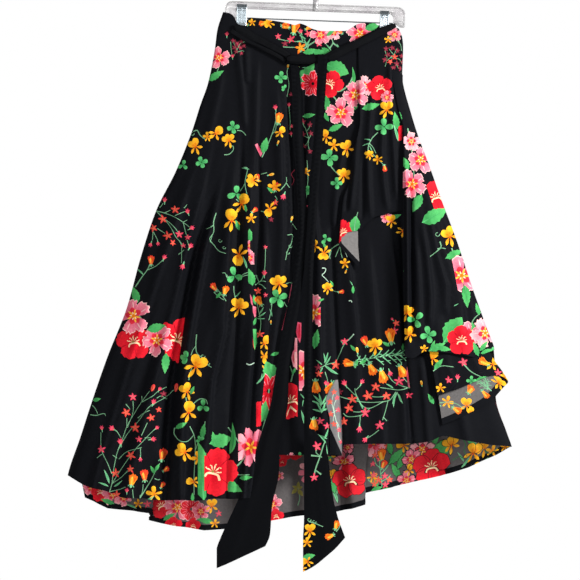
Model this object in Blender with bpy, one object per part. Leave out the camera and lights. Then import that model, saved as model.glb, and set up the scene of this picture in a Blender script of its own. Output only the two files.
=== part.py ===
"""A flounced wrap skirt hung flat from a clear clip hanger.

Metres, +Z up, front towards -Y. The origin is the inner top of the hanger's hook, where a rail carries it.
Inside this file sizes are in millimetres: x across, drop down from the waist line, y from front to back.

Each cloth piece is one wall of even thickness. Its outline comes from two side edges, a top line and a hem line,
and it lies in a layer: how far it stands off the skirt's flat middle plane grows from the waist to the hem, and
falls to nothing at the side silhouettes, where front and back meet.
"""
import math
from collections import namedtuple

import bmesh
import bpy
import numpy as np

# ---------------------------------------------------------------- driving sizes, mm
WAIST_Z = -92.0        # waist line under the hook's inner top
BODY_LENGTH = 970.0    # waist line to the long front hem
GRIP_DROP = 26.0       # the clips pinch the layers together down to here
WALL = 1.2             # cloth, with its hems and seam allowances
TAIL_WALL = 1.8        # the tie is two plies
HALF_GAP = 0.75        # middle plane to a panel's middle at the side silhouettes
LENS_POWER = 4.0       # how square the skirt's section is, seen from above
TILT_DEG = 2.1         # the hanger hangs a little low on the right

Edge = namedtuple("Edge", "drop x")                      # one point of a side edge
Line = namedtuple("Line", "u drop")                      # one point of a top or hem line, u from 0 left to 1 right
Fold = namedtuple("Fold", "u_top u_hem begins width_top width_hem height")
Layer = namedtuple("Layer", "at_waist per_drop")         # stand-off at the waist and its growth over BODY_LENGTH

# How far each layer stands off the middle plane. Front layers count towards -Y, the back one towards +Y.
OUTER = Layer(5.6, 50.0)
SIDE = Layer(7.0, 56.0)
DRAPE = Layer(4.4, 46.0)
TIER = Layer(4.5, 42.0)
TIER_IN = Layer(2.4, 36.0)
UNDER = Layer(1.7, 30.0)
BACK = Layer(1.7, 42.0)

# ---------------------------------------------------------------- silhouettes and edges
LEFT_SIDE = [Edge(-10, -188), Edge(28, -200), Edge(60, -204), Edge(132, -218), Edge(178, -234), Edge(228, -250),
             Edge(308, -282), Edge(388, -322), Edge(478, -352), Edge(586, -382), Edge(682, -420), Edge(780, -454),
             Edge(842, -474), Edge(920, -500), Edge(1040, -520)]
RIGHT_SIDE = [Edge(22, 164), Edge(40, 172), Edge(58, 174), Edge(128, 172), Edge(140, 174), Edge(184, 186),
              Edge(230, 200), Edge(306, 228), Edge(368, 250), Edge(448, 280), Edge(544, 312), Edge(628, 342),
              Edge(668, 356), Edge(700, 358), Edge(764, 360), Edge(834, 382), Edge(862, 392), Edge(1040, 430)]
TIER_SIDE = [Edge(600, 334), Edge(628, 342), Edge(668, 360), Edge(700, 374), Edge(728, 394), Edge(764, 392),
             Edge(840, 388)]

OUTER_FREE = [Edge(88, -50), Edge(248, -34), Edge(368, -28), Edge(548, -34), Edge(668, -54), Edge(848, -90),
              Edge(962, -118)]
OUTER_TOP = [Line(0, -10), Line(0.10, -7), Line(0.17, 2), Line(0.20, 12), Line(0.25, 22), Line(0.51, 44),
             Line(0.75, 68), Line(1, 88)]
OUTER_HEM = [Line(0, 920), Line(0.09, 938), Line(0.215, 952), Line(0.28, 960), Line(0.445, 966), Line(0.565, 968),
             Line(0.71, 966), Line(1, 962)]

UNDER_LEFT = [Edge(7, -157), Edge(88, -162), Edge(268, -182), Edge(468, -210), Edge(668, -244), Edge(878, -278)]
UNDER_RIGHT = [Edge(23, 164), Edge(40, 171), Edge(58, 173), Edge(90, 172), Edge(112, 168), Edge(140, 167),
               Edge(184, 176), Edge(230, 188), Edge(306, 211), Edge(368, 230), Edge(448, 256), Edge(544, 284),
               Edge(628, 312), Edge(700, 334), Edge(764, 354), Edge(834, 379), Edge(862, 390)]
UNDER_TOP = [Line(0, 7), Line(0.045, 7), Line(0.07, 1), Line(0.19, 6), Line(0.30, 12), Line(0.352, 16),
             Line(0.383, 13), Line(0.414, 16), Line(0.464, 24), Line(0.52, 28), Line(0.664, 28), Line(0.695, 24),
             Line(0.745, 14), Line(0.80, 12), Line(0.855, 13), Line(0.87, 16.5), Line(0.92, 16.5), Line(0.94, 17),
             Line(1, 23)]
UNDER_HEM = [Line(0, 878), Line(0.275, 878), Line(0.374, 879), Line(0.489, 880), Line(0.4965, 858), Line(0.545, 856),
             Line(0.641, 856), Line(0.7275, 854), Line(0.772, 846), Line(0.793, 840), Line(0.838, 846),
             Line(0.901, 854), Line(0.934, 858), Line(1, 862)]

DRAPE_LEFT = [Edge(60, 82), Edge(140, 84), Edge(204, 86), Edge(282, 70), Edge(332, 64), Edge(366, 52),
              Edge(406, 48), Edge(458, 44)]
DRAPE_RIGHT = [Edge(34, 150), Edge(104, 154), Edge(178, 172), Edge(232, 184), Edge(430, 190)]
DRAPE_TOP = [Line(0, 60), Line(0.4, 46), Line(0.8, 37), Line(1, 34)]
DRAPE_HEM = [Line(0, 458), Line(0.07, 437), Line(0.18, 431), Line(0.315, 428), Line(0.38, 416), Line(0.466, 406),
             Line(0.55, 400), Line(0.62, 398), Line(0.86, 390), Line(1, 390)]
DRAPE_TURN = dict(top_reach=10.0, hem_reach=44.0, top_drop=64.0, hem_drop=504.0)

SIDE_LEFT = [Edge(104, 148), Edge(178, 162), Edge(232, 174), Edge(368, 172), Edge(568, 174), Edge(682, 176)]
SIDE_TOP = [Line(0, 104), Line(1, 116)]
SIDE_HEM = [Line(0, 682), Line(0.08, 684), Line(0.23, 670), Line(0.38, 672), Line(0.6, 676), Line(0.77, 682),
            Line(0.92, 673), Line(1, 668)]

TURNED_LEFT = [Edge(728, 37), Edge(770, 18), Edge(810, 26), Edge(878, 26)]
TURNED_RIGHT = [Edge(728, 42), Edge(770, 46), Edge(850, 50), Edge(878, 50)]

# The tier goes right along its near layer, round its outer edge and back left along its far one.
Column = namedtuple("Column", "far x_top x_hem drop_hem")
TIER_PATH = [Column(0, 220, 238, 760), Column(0, 238, 258, 752), Column(0, 256, 284, 744), Column(0, 274, 302, 736),
             Column(0, 292, 320, 728), Column(0, 308, 338, 721), Column(0, 322, 352, 718), Column(0, 334, 366, 720),
             Column(0.15, 341, 377, 726), Column(0.5, 343, 382, 731), Column(0.85, 341, 379, 736),
             Column(1, 334, 372, 742), Column(1, 318, 356, 760), Column(1, 298, 336, 775), Column(1, 278, 318, 786),
             Column(1, 258, 290, 800), Column(1, 240, 268, 810), Column(1, 226, 248, 818)]
TIER_TOP_DROP = 660.0

# The back's hem steps back twice, where the cloth doubles over itself.
Hem = namedtuple("Hem", "u x drop setback")
BACK_HEM = [Hem(0, -498, 915, 0), Hem(0.03, -474, 931, 0), Hem(0.045, -467, 966, 0), Hem(0.10, -422, 988, 0),
            Hem(0.15, -376, 994, 0), Hem(0.20, -328, 1000, 0), Hem(0.218, -331, 1006, 5), Hem(0.236, -341, 1013, 10),
            Hem(0.28, -284, 1026, 12), Hem(0.34, -228, 1034, 12), Hem(0.42, -154, 1030, 12),
            Hem(0.50, -90, 1014, 12), Hem(0.56, -28, 1004, 12), Hem(0.62, 34, 998, 12), Hem(0.66, 72, 990, 12),
            Hem(0.69, 99, 982, 12), Hem(0.708, 91, 973, 17), Hem(0.726, 77, 964, 22), Hem(0.76, 110, 956, 23),
            Hem(0.80, 150, 948, 23), Hem(0.855, 204, 934, 22), Hem(0.905, 252, 924, 19), Hem(0.95, 306, 906, 12),
            Hem(0.98, 362, 880, 5), Hem(1, 389, 863, 0)]
BACK_TOP = [Line(0, 28), Line(0.08, 24), Line(0.115, 15), Line(0.19, 5), Line(0.40, 17), Line(0.55, 31),
            Line(0.72, 31), Line(0.82, 16), Line(0.95, 20), Line(1, 26)]
BACK_RIGHT = [Edge(26, 164), Edge(40, 171), Edge(58, 173), Edge(128, 171), Edge(140, 173), Edge(184, 185),
              Edge(230, 199), Edge(306, 227), Edge(368, 249), Edge(448, 279), Edge(544, 311), Edge(628, 338),
              Edge(700, 350), Edge(764, 356), Edge(834, 381), Edge(863, 391)]

# ---------------------------------------------------------------- the largest folds
OUTER_FOLDS = [Fold(0.34, 0.17, 0.16, 9, 26, 8.0), Fold(0.45, 0.33, 0.10, 9, 24, 7.0),
               Fold(0.56, 0.47, 0.20, 8, 22, 6.0), Fold(0.66, 0.62, 0.06, 8, 26, 9.0),
               Fold(0.79, 0.78, 0.14, 7, 20, 7.5), Fold(0.90, 0.915, 0.22, 6, 17, 6.0)]
UNDER_FOLDS = [Fold(0.30, 0.14, 0.20, 8, 24, 4.0), Fold(0.44, 0.33, 0.15, 7, 20, 4.0),
               Fold(0.52, 0.395, 0.12, 6, 15, 4.5), Fold(0.60, 0.58, 0.40, 7, 22, 3.5),
               Fold(0.72, 0.70, 0.50, 8, 22, 3.5)]
DRAPE_FOLDS = [Fold(0.30, 0.14, 0.30, 6, 13, 3.0), Fold(0.46, 0.42, 0.24, 6, 16, 4.5),
               Fold(0.64, 0.74, 0.34, 6, 18, 4.0)]
SIDE_FOLDS = [Fold(0.30, 0.07, 0.12, 3, 6, 2.5), Fold(0.52, 0.34, 0.22, 7, 20, 5.0),
              Fold(0.66, 0.60, 0.30, 7, 20, 5.5), Fold(0.82, 0.83, 0.34, 6, 16, 3.5)]
BACK_FOLDS = [Fold(0.20, 0.10, 0.16, 12, 34, 8.0), Fold(0.34, 0.31, 0.12, 12, 36, 9.0),
              Fold(0.48, 0.45, 0.20, 10, 34, 7.0), Fold(0.62, 0.59, 0.10, 12, 36, 9.0),
              Fold(0.76, 0.81, 0.18, 10, 34, 7.0), Fold(0.88, 0.91, 0.24, 8, 24, 5.0)]

# ---------------------------------------------------------------- the tie
Strand = namedtuple("Strand", "x drop half_width half_thick")
BAND = [Strand(-164, 18, 4.5, 1.4), Strand(-158, 23, 7.0, 1.8), Strand(-132, 39, 7.4, 1.9), Strand(-104, 52, 7.0, 1.9),
        Strand(-76, 67, 6.6, 2.0), Strand(-57, 79, 5.6, 1.8)]
CORD_SHIFT = 12.0      # the second strand lies this far down the slope's square
CORD_HALF = 4.2
RIGHT_STRETCH = [Strand(20, 82, 6.6, 1.9), Strand(42, 72, 8.2, 2.0), Strand(70, 59, 8.4, 2.0), Strand(98, 45, 8.6, 2.0),
                 Strand(126, 31, 8.4, 1.9), Strand(150, 20, 6.2, 1.6), Strand(158, 17, 3.4, 1.2)]
KNOT = [Strand(-60, 84, 5.0, 2.0), Strand(-52, 85, 8.4, 3.0), Strand(-30, 86, 9.2, 3.2), Strand(-6, 85, 8.8, 3.2),
        Strand(12, 84, 8.6, 3.0), Strand(19, 83, 6.0, 2.2)]
TIE_STANDS = 9.6       # tie's back face off the middle plane at the waist
TIE_GROWS = 50.0

TailRow = namedtuple("TailRow", "drop left right y")
TAIL_LEFT = [TailRow(86, -53, -38, -13.8), TailRow(150, -50, -31, -16.5), TailRow(238, -48, -28, -21.5),
             TailRow(330, -41, -23, -27), TailRow(416, -37, -19, -32.5), TailRow(538, -50, -30, -39.5),
             TailRow(632, -70, -44, -45), TailRow(710, -82, -56, -49), TailRow(772, -92, -58, -52.5),
             TailRow(848, -116, -74, -57), TailRow(912, -134, -76, -60.5), TailRow(980, -164, -90, -64),
             TailRow(1036, -190, -94, -66), TailRow(1060, -200, -104, -67)]
TAIL_LEFT_TIP = [Line(0, 1102), Line(0.2, 1094), Line(0.6, 1076), Line(1, 1058)]
TAIL_RIGHT = [TailRow(76, 2, 22, -26.6), TailRow(108, 1, 20, -26), TailRow(150, -1, 17, -25),
              TailRow(238, -6, 12, -28), TailRow(304, -12, 6, -31.5), TailRow(420, -20, -2, -37.5),
              TailRow(528, -26, -8, -43.5),
              TailRow(640, -26, -9, -46.5), TailRow(738, -26, -10, -48), TailRow(826, -26, -6, -48.5),
              TailRow(850, -26, 17, -48.5), TailRow(898, -26, 24, -49), TailRow(962, -26, 32, -49.5),
              TailRow(1000, -26, 41, -50), TailRow(1042, -28, 56, -50.5)]
TAIL_RIGHT_TIP = [Line(0, 1110), Line(0.12, 1106), Line(0.32, 1096), Line(0.6, 1076), Line(0.77, 1064),
                  Line(1, 1042)]
TAIL_TOP = {"left": 86.0, "right": 76.0}

# ---------------------------------------------------------------- the hanger
FRAME_LEFT, FRAME_RIGHT = -181.5, 180.5
LEG_LEFT, LEG_RIGHT = 22.0, 24.0       # widths of the two end legs
BEAM_TOP, BEAM_BOTTOM = -66.0, -81.0
LEG_END_LEFT, LEG_END_RIGHT = -114.0, -107.0
FRAME_THICK = 4.4
FRAME_CORNER = 15.0
BOSS_RADIUS, BOSS_TOP, BORE_BOTTOM = 5.5, -50.0, -79.0
WIRE = 1.8                             # hook wire radius
BORE = 2.1
HOOK_RADIUS = 21.8                     # to the wire's middle
ROD_RADIUS, ROD_Z = 1.2, -99.2
CLIP_THICK = 1.0
CLIP_INNER = 3.3                       # jaw's inner face off the middle plane
Clip = namedtuple("Clip", "name x width top bottom")
CLIPS = [Clip("left", -148.0, 20.0, -66.5, -109.0), Clip("right", 139.0, 18.0, -80.0, -116.5)]


# ================================================================ helpers
def hermite(xs, ys, at):
    """A smooth curve through a table, with no overshoot between its rows."""
    xs, ys, at = np.asarray(xs, float), np.asarray(ys, float), np.asarray(at, float)
    step, rise = np.diff(xs), np.diff(ys)
    slope = rise / step
    m = np.empty(len(xs))
    m[0], m[-1] = slope[0], slope[-1]
    a, b = slope[:-1], slope[1:]
    both = a * b > 0
    mid = np.zeros(len(a))
    w1, w2 = 2 * step[1:] + step[:-1], step[1:] + 2 * step[:-1]
    mid[both] = (w1 + w2)[both] / (w1[both] / a[both] + w2[both] / b[both])
    m[1:-1] = mid
    at = np.clip(at, xs[0], xs[-1])
    k = np.clip(np.searchsorted(xs, at, side="right") - 1, 0, len(xs) - 2)
    h = step[k]
    t = (at - xs[k]) / h
    return ((2 * t**3 - 3 * t**2 + 1) * ys[k] + (t**3 - 2 * t**2 + t) * h * m[k]
            + (3 * t**2 - 2 * t**3) * ys[k + 1] + (t**3 - t**2) * h * m[k + 1])


def column(table, name):
    return [getattr(row, name) for row in table]


def edge_x(table, drop):
    return hermite(column(table, "drop"), column(table, "x"), drop)


def line_drop(table, u):
    return hermite(column(table, "u"), column(table, "drop"), u)


def smooth(t):
    t = np.clip(t, 0.0, 1.0)
    return t * t * (3 - 2 * t)


def opening(drop):
    """How far the skirt has opened: 0 down to where the clips grip it, 1 at the hem."""
    return np.clip((drop - GRIP_DROP) / (BODY_LENGTH - GRIP_DROP), 0, 1.1)


def lens(x, drop, right=RIGHT_SIDE):
    """1 over most of the skirt's width and 0 at its side silhouettes; squarer at the waist than at the hem."""
    left, far = edge_x(LEFT_SIDE, drop), edge_x(right, drop)
    across = np.clip(2 * (x - left) / (far - left) - 1, -1, 1)
    return np.clip(1 - np.abs(across) ** LENS_POWER, 0, 1) ** (0.25 + 0.35 * opening(drop))


def stand_off(layer, x, drop, right=RIGHT_SIDE):
    return HALF_GAP + lens(x, drop, right) * (layer.at_waist + layer.per_drop * opening(drop))


def fold_height(folds, u, v, width):
    """Sum of soft ridges, each from its own start down to the hem."""
    total = np.zeros(np.broadcast(u, v).shape)
    for f in folds:
        middle = f.u_top + (f.u_hem - f.u_top) * v
        half = f.width_top + (f.width_hem - f.width_top) * v
        away = np.clip(np.abs(u - middle) * width / half, 0, 1)
        total = total + f.height * smooth((v - f.begins) / (1 - f.begins)) * np.cos(away * math.pi / 2) ** 2
    return total


def columns(count, extra=(), ends=()):
    """Even columns from 0 to 1, with a few more where a line steps or a silhouette rounds away."""
    u = list(np.linspace(0, 1, count + 1))
    for e in list(extra) + list(ends):
        u = [k for k in u if abs(k - e) > 0.3 / count or k in (0.0, 1.0)] + [e]
    return np.array(sorted(set(u)))


def place(points):
    """(x, y, drop) in mm to metres."""
    out = np.array(points, float)
    out[..., 2] = WAIST_Z - out[..., 2]
    return out * 0.001


def material(name, colour, roughness, metallic=0.0):
    mat = bpy.data.materials.new(name)
    mat.use_nodes = True
    shader = mat.node_tree.nodes["Principled BSDF"]
    shader.inputs["Base Color"].default_value = (*colour, 1.0)
    shader.inputs["Roughness"].default_value = roughness
    shader.inputs["Metallic"].default_value = metallic
    return mat


def add_object(name, verts, faces, mat):
    """A mesh object whose faces point out, whichever way round its grid ran."""
    mesh = bpy.data.meshes.new(name)
    mesh.from_pydata([tuple(map(float, p)) for p in verts], [], [tuple(f) for f in faces])
    bm = bmesh.new()
    bm.from_mesh(mesh)
    if bm.calc_volume(signed=True) < 0:
        bmesh.ops.reverse_faces(bm, faces=bm.faces)
    bm.to_mesh(mesh)
    bm.free()
    mesh.materials.append(mat)
    mesh.validate()
    obj = bpy.data.objects.new(name, mesh)
    bpy.context.scene.collection.objects.link(obj)
    return obj


def cloth_wall(name, middle, thick, mat):
    """A closed wall about a grid of points (rows, columns, xyz), in metres."""
    rows, cols = middle.shape[:2]
    down = np.gradient(middle, axis=0)
    across = np.gradient(middle, axis=1)
    normal = np.cross(across, down)
    normal /= np.maximum(np.linalg.norm(normal, axis=2, keepdims=True), 1e-12)
    half = thick * 0.0005
    verts = np.concatenate([(middle + normal * half).reshape(-1, 3), (middle - normal * half).reshape(-1, 3)])
    other = rows * cols
    faces = []

    def at(r, c, side=0):
        return side * other + r * cols + c

    for r in range(rows - 1):
        for c in range(cols - 1):
            a, b, d, e = (r, c), (r, c + 1), (r + 1, c + 1), (r + 1, c)
            faces += [(at(*a), at(*b), at(*d)), (at(*a), at(*d), at(*e))]
            faces += [(at(*d, 1), at(*b, 1), at(*a, 1)), (at(*e, 1), at(*d, 1), at(*a, 1))]
    rim = ([(0, c) for c in range(cols)] + [(r, cols - 1) for r in range(1, rows)]
           + [(rows - 1, c) for c in range(cols - 2, -1, -1)] + [(r, 0) for r in range(rows - 2, 0, -1)])
    for k, p in enumerate(rim):
        q = rim[(k + 1) % len(rim)]
        faces += [(at(*q), at(*p), at(*p, 1)), (at(*q), at(*p, 1), at(*q, 1))]
    return add_object(name, verts, faces, mat)


def panel_points(left, right, top, hem, layer, folds, u, v, sign=-1.0, side=RIGHT_SIDE):
    """Middle surface of a panel: its outline, its layer and its folds."""
    uu, vv = np.meshgrid(u, v)
    drop = line_drop(top, uu) * (1 - vv) + line_drop(hem, uu) * vv
    drop_l = line_drop(top, 0.0) * (1 - vv) + line_drop(hem, 0.0) * vv
    drop_r = line_drop(top, 1.0) * (1 - vv) + line_drop(hem, 1.0) * vv
    x_l, x_r = edge_x(left, drop_l), edge_x(right, drop_r)
    x = x_l + (x_r - x_l) * uu
    held = lens(x, drop, side)
    y = sign * (stand_off(layer, x, drop, side) + held * fold_height(folds, uu, vv, x_r - x_l))
    return np.stack([x, y, drop], axis=-1)


def strand(name, rows, mat, stands=TIE_STANDS, shift=0.0, half=None, sides=10, stations=15):
    """A flattened tube along the tie, square to its own run, its back just clear of what it lies on."""
    way = np.concatenate([[0], np.cumsum([math.hypot(b.x - a.x, b.drop - a.drop) for a, b in zip(rows, rows[1:])])])
    at = np.linspace(0, way[-1], stations)
    x, drop = hermite(way, column(rows, "x"), at), hermite(way, column(rows, "drop"), at)
    wide, thick = hermite(way, column(rows, "half_width"), at), hermite(way, column(rows, "half_thick"), at)
    dx, dd = np.gradient(x), np.gradient(drop)
    run = np.hypot(dx, dd)
    nx, nd = -dd / run, dx / run           # square to the run, pointing down the cloth
    x, drop = x + nx * shift, drop + nd * shift
    if half is not None:
        wide = np.minimum(wide, half)
    y = -(stands + TIE_GROWS * opening(drop) + thick)
    verts, faces = [], []
    for k in range(stations):
        for s in range(sides):
            a = 2 * math.pi * s / sides
            c, d = math.copysign(abs(math.cos(a)) ** 0.8, math.cos(a)), math.copysign(abs(math.sin(a)) ** 0.8, math.sin(a))
            verts.append((x[k] + nx[k] * wide[k] * c, y[k] + thick[k] * d, drop[k] + nd[k] * wide[k] * c))
    for k in range(stations - 1):
        for s in range(sides):
            a, b = k * sides + s, k * sides + (s + 1) % sides
            faces.append((a, b, b + sides, a + sides))
    faces.append(tuple(range(sides - 1, -1, -1)))
    faces.append(tuple((stations - 1) * sides + s for s in range(sides)))
    return add_object(name, place(verts), faces, mat)


def tail(name, rows, tip, top, mat, cols=4, count=18):
    """A tie end: a flat strip between two edges, cut on the slant."""
    u, v = np.linspace(0, 1, cols + 1), np.linspace(0, 1, count + 1)
    uu, vv = np.meshgrid(u, v)
    drop = top * (1 - vv) + line_drop(tip, uu) * vv
    drops = column(rows, "drop")
    left, right = hermite(drops, column(rows, "left"), drop), hermite(drops, column(rows, "right"), drop)
    y = hermite(drops, column(rows, "y"), drop)
    bow = 1.6 * np.sin(uu * math.pi) * smooth((drop - top) / 200)
    return cloth_wall(name, place(np.stack([left + (right - left) * uu, y - bow, drop], axis=-1)), TAIL_WALL, mat)


def boolean(target, cutter, operation):
    mod = target.modifiers.new(operation.lower(), "BOOLEAN")
    mod.operation, mod.object, mod.solver = operation, cutter, "EXACT"
    cutter.hide_render, cutter.display_type = True, "WIRE"


def ring_solid(name, x0, x1, z, outer, inner, mat, sides=20):
    """A short tube along X."""
    verts, faces = [], []
    for x, radius in ((x0, outer), (x1, outer), (x1, inner), (x0, inner)):
        for s in range(sides):
            a = 2 * math.pi * s / sides
            verts.append((x * 0.001, radius * math.cos(a) * 0.001, (z + radius * math.sin(a)) * 0.001))
    for k in range(4):
        for s in range(sides):
            a, b = k * sides + s, k * sides + (s + 1) % sides
            c, d = ((k + 1) % 4) * sides + (s + 1) % sides, ((k + 1) % 4) * sides + s
            faces.append((a, b, c, d))
    return add_object(name, verts, faces, mat)


def extruded(name, outline, y0, y1, mat):
    """An outline in x and z, pushed from y0 to y1."""
    n = len(outline)
    verts = [(x * 0.001, y0 * 0.001, z * 0.001) for x, z in outline] + [(x * 0.001, y1 * 0.001, z * 0.001) for x, z in outline]
    faces = [tuple(range(n)), tuple(range(2 * n - 1, n - 1, -1))]
    faces += [(k, (k + 1) % n, n + (k + 1) % n, n + k)[::-1] for k in range(n)]
    return add_object(name, verts, faces, mat)


def arc(cx, cz, radius, start, end, steps):
    return [(cx + radius * math.cos(math.radians(a)), cz + radius * math.sin(math.radians(a)))
            for a in np.linspace(start, end, steps)]


# ================================================================ build
for old in list(bpy.data.objects):
    bpy.data.objects.remove(old, do_unlink=True)

cloth = material("printed_cloth", (0.012, 0.013, 0.017), 0.62)
lining_side = material("wrong_side", (0.30, 0.29, 0.29), 0.75)
sash = material("plain_tie", (0.011, 0.012, 0.016), 0.58)
clear = material("clear_plastic", (0.80, 0.78, 0.79), 0.12)
steel = material("bright_metal", (0.62, 0.66, 0.69), 0.24, 1.0)

ROWS_LONG, ROWS_SHORT = 14, 9

# outer front wrap
cloth_wall("front_outer", place(panel_points(
    LEFT_SIDE, OUTER_FREE, OUTER_TOP, OUTER_HEM, OUTER, OUTER_FOLDS,
    columns(31, ends=(0.008,)), np.linspace(0, 1, ROWS_LONG))), WALL, cloth)

# inner front wrap, from the waist to the lower front hem
cloth_wall("front_under", place(panel_points(
    UNDER_LEFT, UNDER_RIGHT, UNDER_TOP, UNDER_HEM, UNDER, UNDER_FOLDS,
    columns(26, extra=(0.045, 0.07, 0.352, 0.383, 0.489, 0.4965, 0.793, 0.855, 0.87, 0.935)),
    np.linspace(0, 1, ROWS_LONG - 3))), WALL, cloth)

# its folded edge lies on it, made from the same layer moved out
turned_u, turned_v = np.linspace(0, 1, 5), np.linspace(0, 1, 7)
turned_uu, turned_vv = np.meshgrid(turned_u, turned_v)
turned_drop = 728 + (878 - 728) * turned_vv
turned_left, turned_right = edge_x(TURNED_LEFT, turned_drop), edge_x(TURNED_RIGHT, turned_drop)
turned_x = turned_left + (turned_right - turned_left) * turned_uu
turned_y = -(stand_off(UNDER, turned_x, turned_drop) + WALL + 1.6)
cloth_wall("front_turned_edge", place(np.stack([turned_x, turned_y, turned_drop], axis=-1)), WALL, lining_side)

# front drape: turned corner behind, round its left edge, then the near layer
drape_u = columns(13, extra=(0.07,))
drape_v = np.linspace(0, 1, ROWS_SHORT)
near = panel_points(DRAPE_LEFT, DRAPE_RIGHT, DRAPE_TOP, DRAPE_HEM, DRAPE, DRAPE_FOLDS, drape_u, drape_v)
behind = []
for share in (1.0, 0.6, 0.2):
    reach = (DRAPE_TURN["top_reach"] + (DRAPE_TURN["hem_reach"] - DRAPE_TURN["top_reach"]) * drape_v) * share
    drop_far = 60 + (458 + (DRAPE_TURN["hem_drop"] - 458) * share - 60) * drape_v
    x = edge_x(DRAPE_LEFT, 60 + (458 - 60) * drape_v) + reach
    y = -(stand_off(DRAPE, x, drop_far) - (1.7 + 3.6 * opening(drop_far)))
    behind.append(np.stack([x, y, drop_far], axis=-1))
round_edge = near[:, 0].copy()
round_edge[:, 0] -= 1.0
round_edge[:, 1] += 0.9 + 1.8 * drape_v
front_drape = np.concatenate([np.stack(behind, axis=1), round_edge[:, None], near], axis=1)
cloth_wall("front_drape", place(front_drape), WALL, cloth)

# side flounce
cloth_wall("side_flounce", place(panel_points(
    SIDE_LEFT, RIGHT_SIDE, SIDE_TOP, SIDE_HEM, SIDE, SIDE_FOLDS,
    columns(18, ends=(0.992,)), np.linspace(0, 1, ROWS_SHORT + 1))), WALL, cloth)

# side tier, near layer, round its outer edge and back behind
tier_v = np.linspace(0, 1, 6)
tier = []
for col in TIER_PATH:
    drop = TIER_TOP_DROP + (col.drop_hem - TIER_TOP_DROP) * tier_v
    x = col.x_top + (col.x_hem - col.x_top) * tier_v ** 1.2
    near_y = stand_off(TIER, x, drop, TIER_SIDE) + 1.5 * tier_v
    far_y = stand_off(TIER_IN, x, drop, TIER_SIDE)
    tier.append(np.stack([x, -(near_y * (1 - col.far) + far_y * col.far), drop], axis=-1))
cloth_wall("side_tier", place(np.stack(tier, axis=1)), WALL, cloth)

# back
back_u = columns(36, extra=tuple(column(BACK_HEM, "u")[1:-1]), ends=(0.008, 0.992))
back_v = np.linspace(0, 1, 10)
back_uu, back_vv = np.meshgrid(back_u, back_v)
hem_u = column(BACK_HEM, "u")
hem_drop = np.interp(back_uu, hem_u, column(BACK_HEM, "drop"))
hem_x = np.interp(back_uu, hem_u, column(BACK_HEM, "x"))
drop = line_drop(BACK_TOP, back_uu) * (1 - back_vv) + hem_drop * back_vv
drop_l, drop_r = 28 * (1 - back_vv) + 915 * back_vv, 26 * (1 - back_vv) + 863 * back_vv
x_l, x_r = edge_x(LEFT_SIDE, drop_l), edge_x(BACK_RIGHT, drop_r)
share = (hem_x + 498) / (389 + 498)
turning = smooth((back_vv - 0.45) / 0.55)
x = x_l + (x_r - x_l) * (back_uu * (1 - turning) + share * turning)
setback = np.interp(back_uu, hem_u, column(BACK_HEM, "setback")) * smooth((back_vv - 0.3) / 0.7)
y = stand_off(BACK, x, drop) + lens(x, drop) * fold_height(BACK_FOLDS, back_uu, back_vv, x_r - x_l) + setback
cloth_wall("back_panel", place(np.stack([x, y, drop], axis=-1)), WALL, cloth)

# tie
strand("tie_left_band", BAND, sash)
strand("tie_left_cord", BAND, sash, shift=CORD_SHIFT, half=CORD_HALF, sides=8)
strand("tie_right", RIGHT_STRETCH, sash, stands=TIE_STANDS + 0.4)
strand("tie_knot", KNOT, sash, stands=TIE_STANDS + 4.6, sides=12, stations=11)
tail("tail_left", TAIL_LEFT, TAIL_LEFT_TIP, TAIL_TOP["left"], sash)
tail("tail_right", TAIL_RIGHT, TAIL_RIGHT_TIP, TAIL_TOP["right"], sash)

# hanger frame: a beam with two legs, its hook boss and the boss's bore
outline = arc(FRAME_LEFT + FRAME_CORNER, BEAM_TOP - FRAME_CORNER, FRAME_CORNER, 180, 90, 7)
outline += arc(FRAME_RIGHT - FRAME_CORNER, BEAM_TOP - FRAME_CORNER, FRAME_CORNER, 90, 0, 7)
outline += [(FRAME_RIGHT, LEG_END_RIGHT + 2), (FRAME_RIGHT - 2, LEG_END_RIGHT),
            (FRAME_RIGHT - LEG_RIGHT + 15, LEG_END_RIGHT), (FRAME_RIGHT - LEG_RIGHT, LEG_END_RIGHT + 9)]
outline += [p for p in reversed(arc(FRAME_RIGHT - LEG_RIGHT - 6, BEAM_BOTTOM - 6, 6, 0, 90, 4))][::-1]
outline += arc(FRAME_LEFT + LEG_LEFT + 6, BEAM_BOTTOM - 6, 6, 90, 180, 4)
outline += [(FRAME_LEFT + LEG_LEFT, LEG_END_LEFT + 2), (FRAME_LEFT + LEG_LEFT - 2, LEG_END_LEFT),
            (FRAME_LEFT + 2, LEG_END_LEFT), (FRAME_LEFT, LEG_END_LEFT + 2)]
frame = extruded("hanger_frame", outline, -FRAME_THICK / 2, FRAME_THICK / 2, clear)


def upright(name, radius, low, high, sides=24):
    mesh = bpy.data.meshes.new(name)
    bm = bmesh.new()
    bmesh.ops.create_cone(bm, cap_ends=True, segments=sides, radius1=radius * 0.001, radius2=radius * 0.001,
                          depth=(high - low) * 0.001)
    bmesh.ops.translate(bm, verts=bm.verts, vec=(0, 0, (low + high) * 0.0005))
    bm.to_mesh(mesh)
    bm.free()
    obj = bpy.data.objects.new(name, mesh)
    bpy.context.scene.collection.objects.link(obj)
    return obj


boolean(frame, upright("boss_guide", BOSS_RADIUS, BEAM_BOTTOM + 0.5, BOSS_TOP), "UNION")
boolean(frame, upright("bore_guide", BORE, BORE_BOTTOM, BOSS_TOP + 5), "DIFFERENCE")

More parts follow.
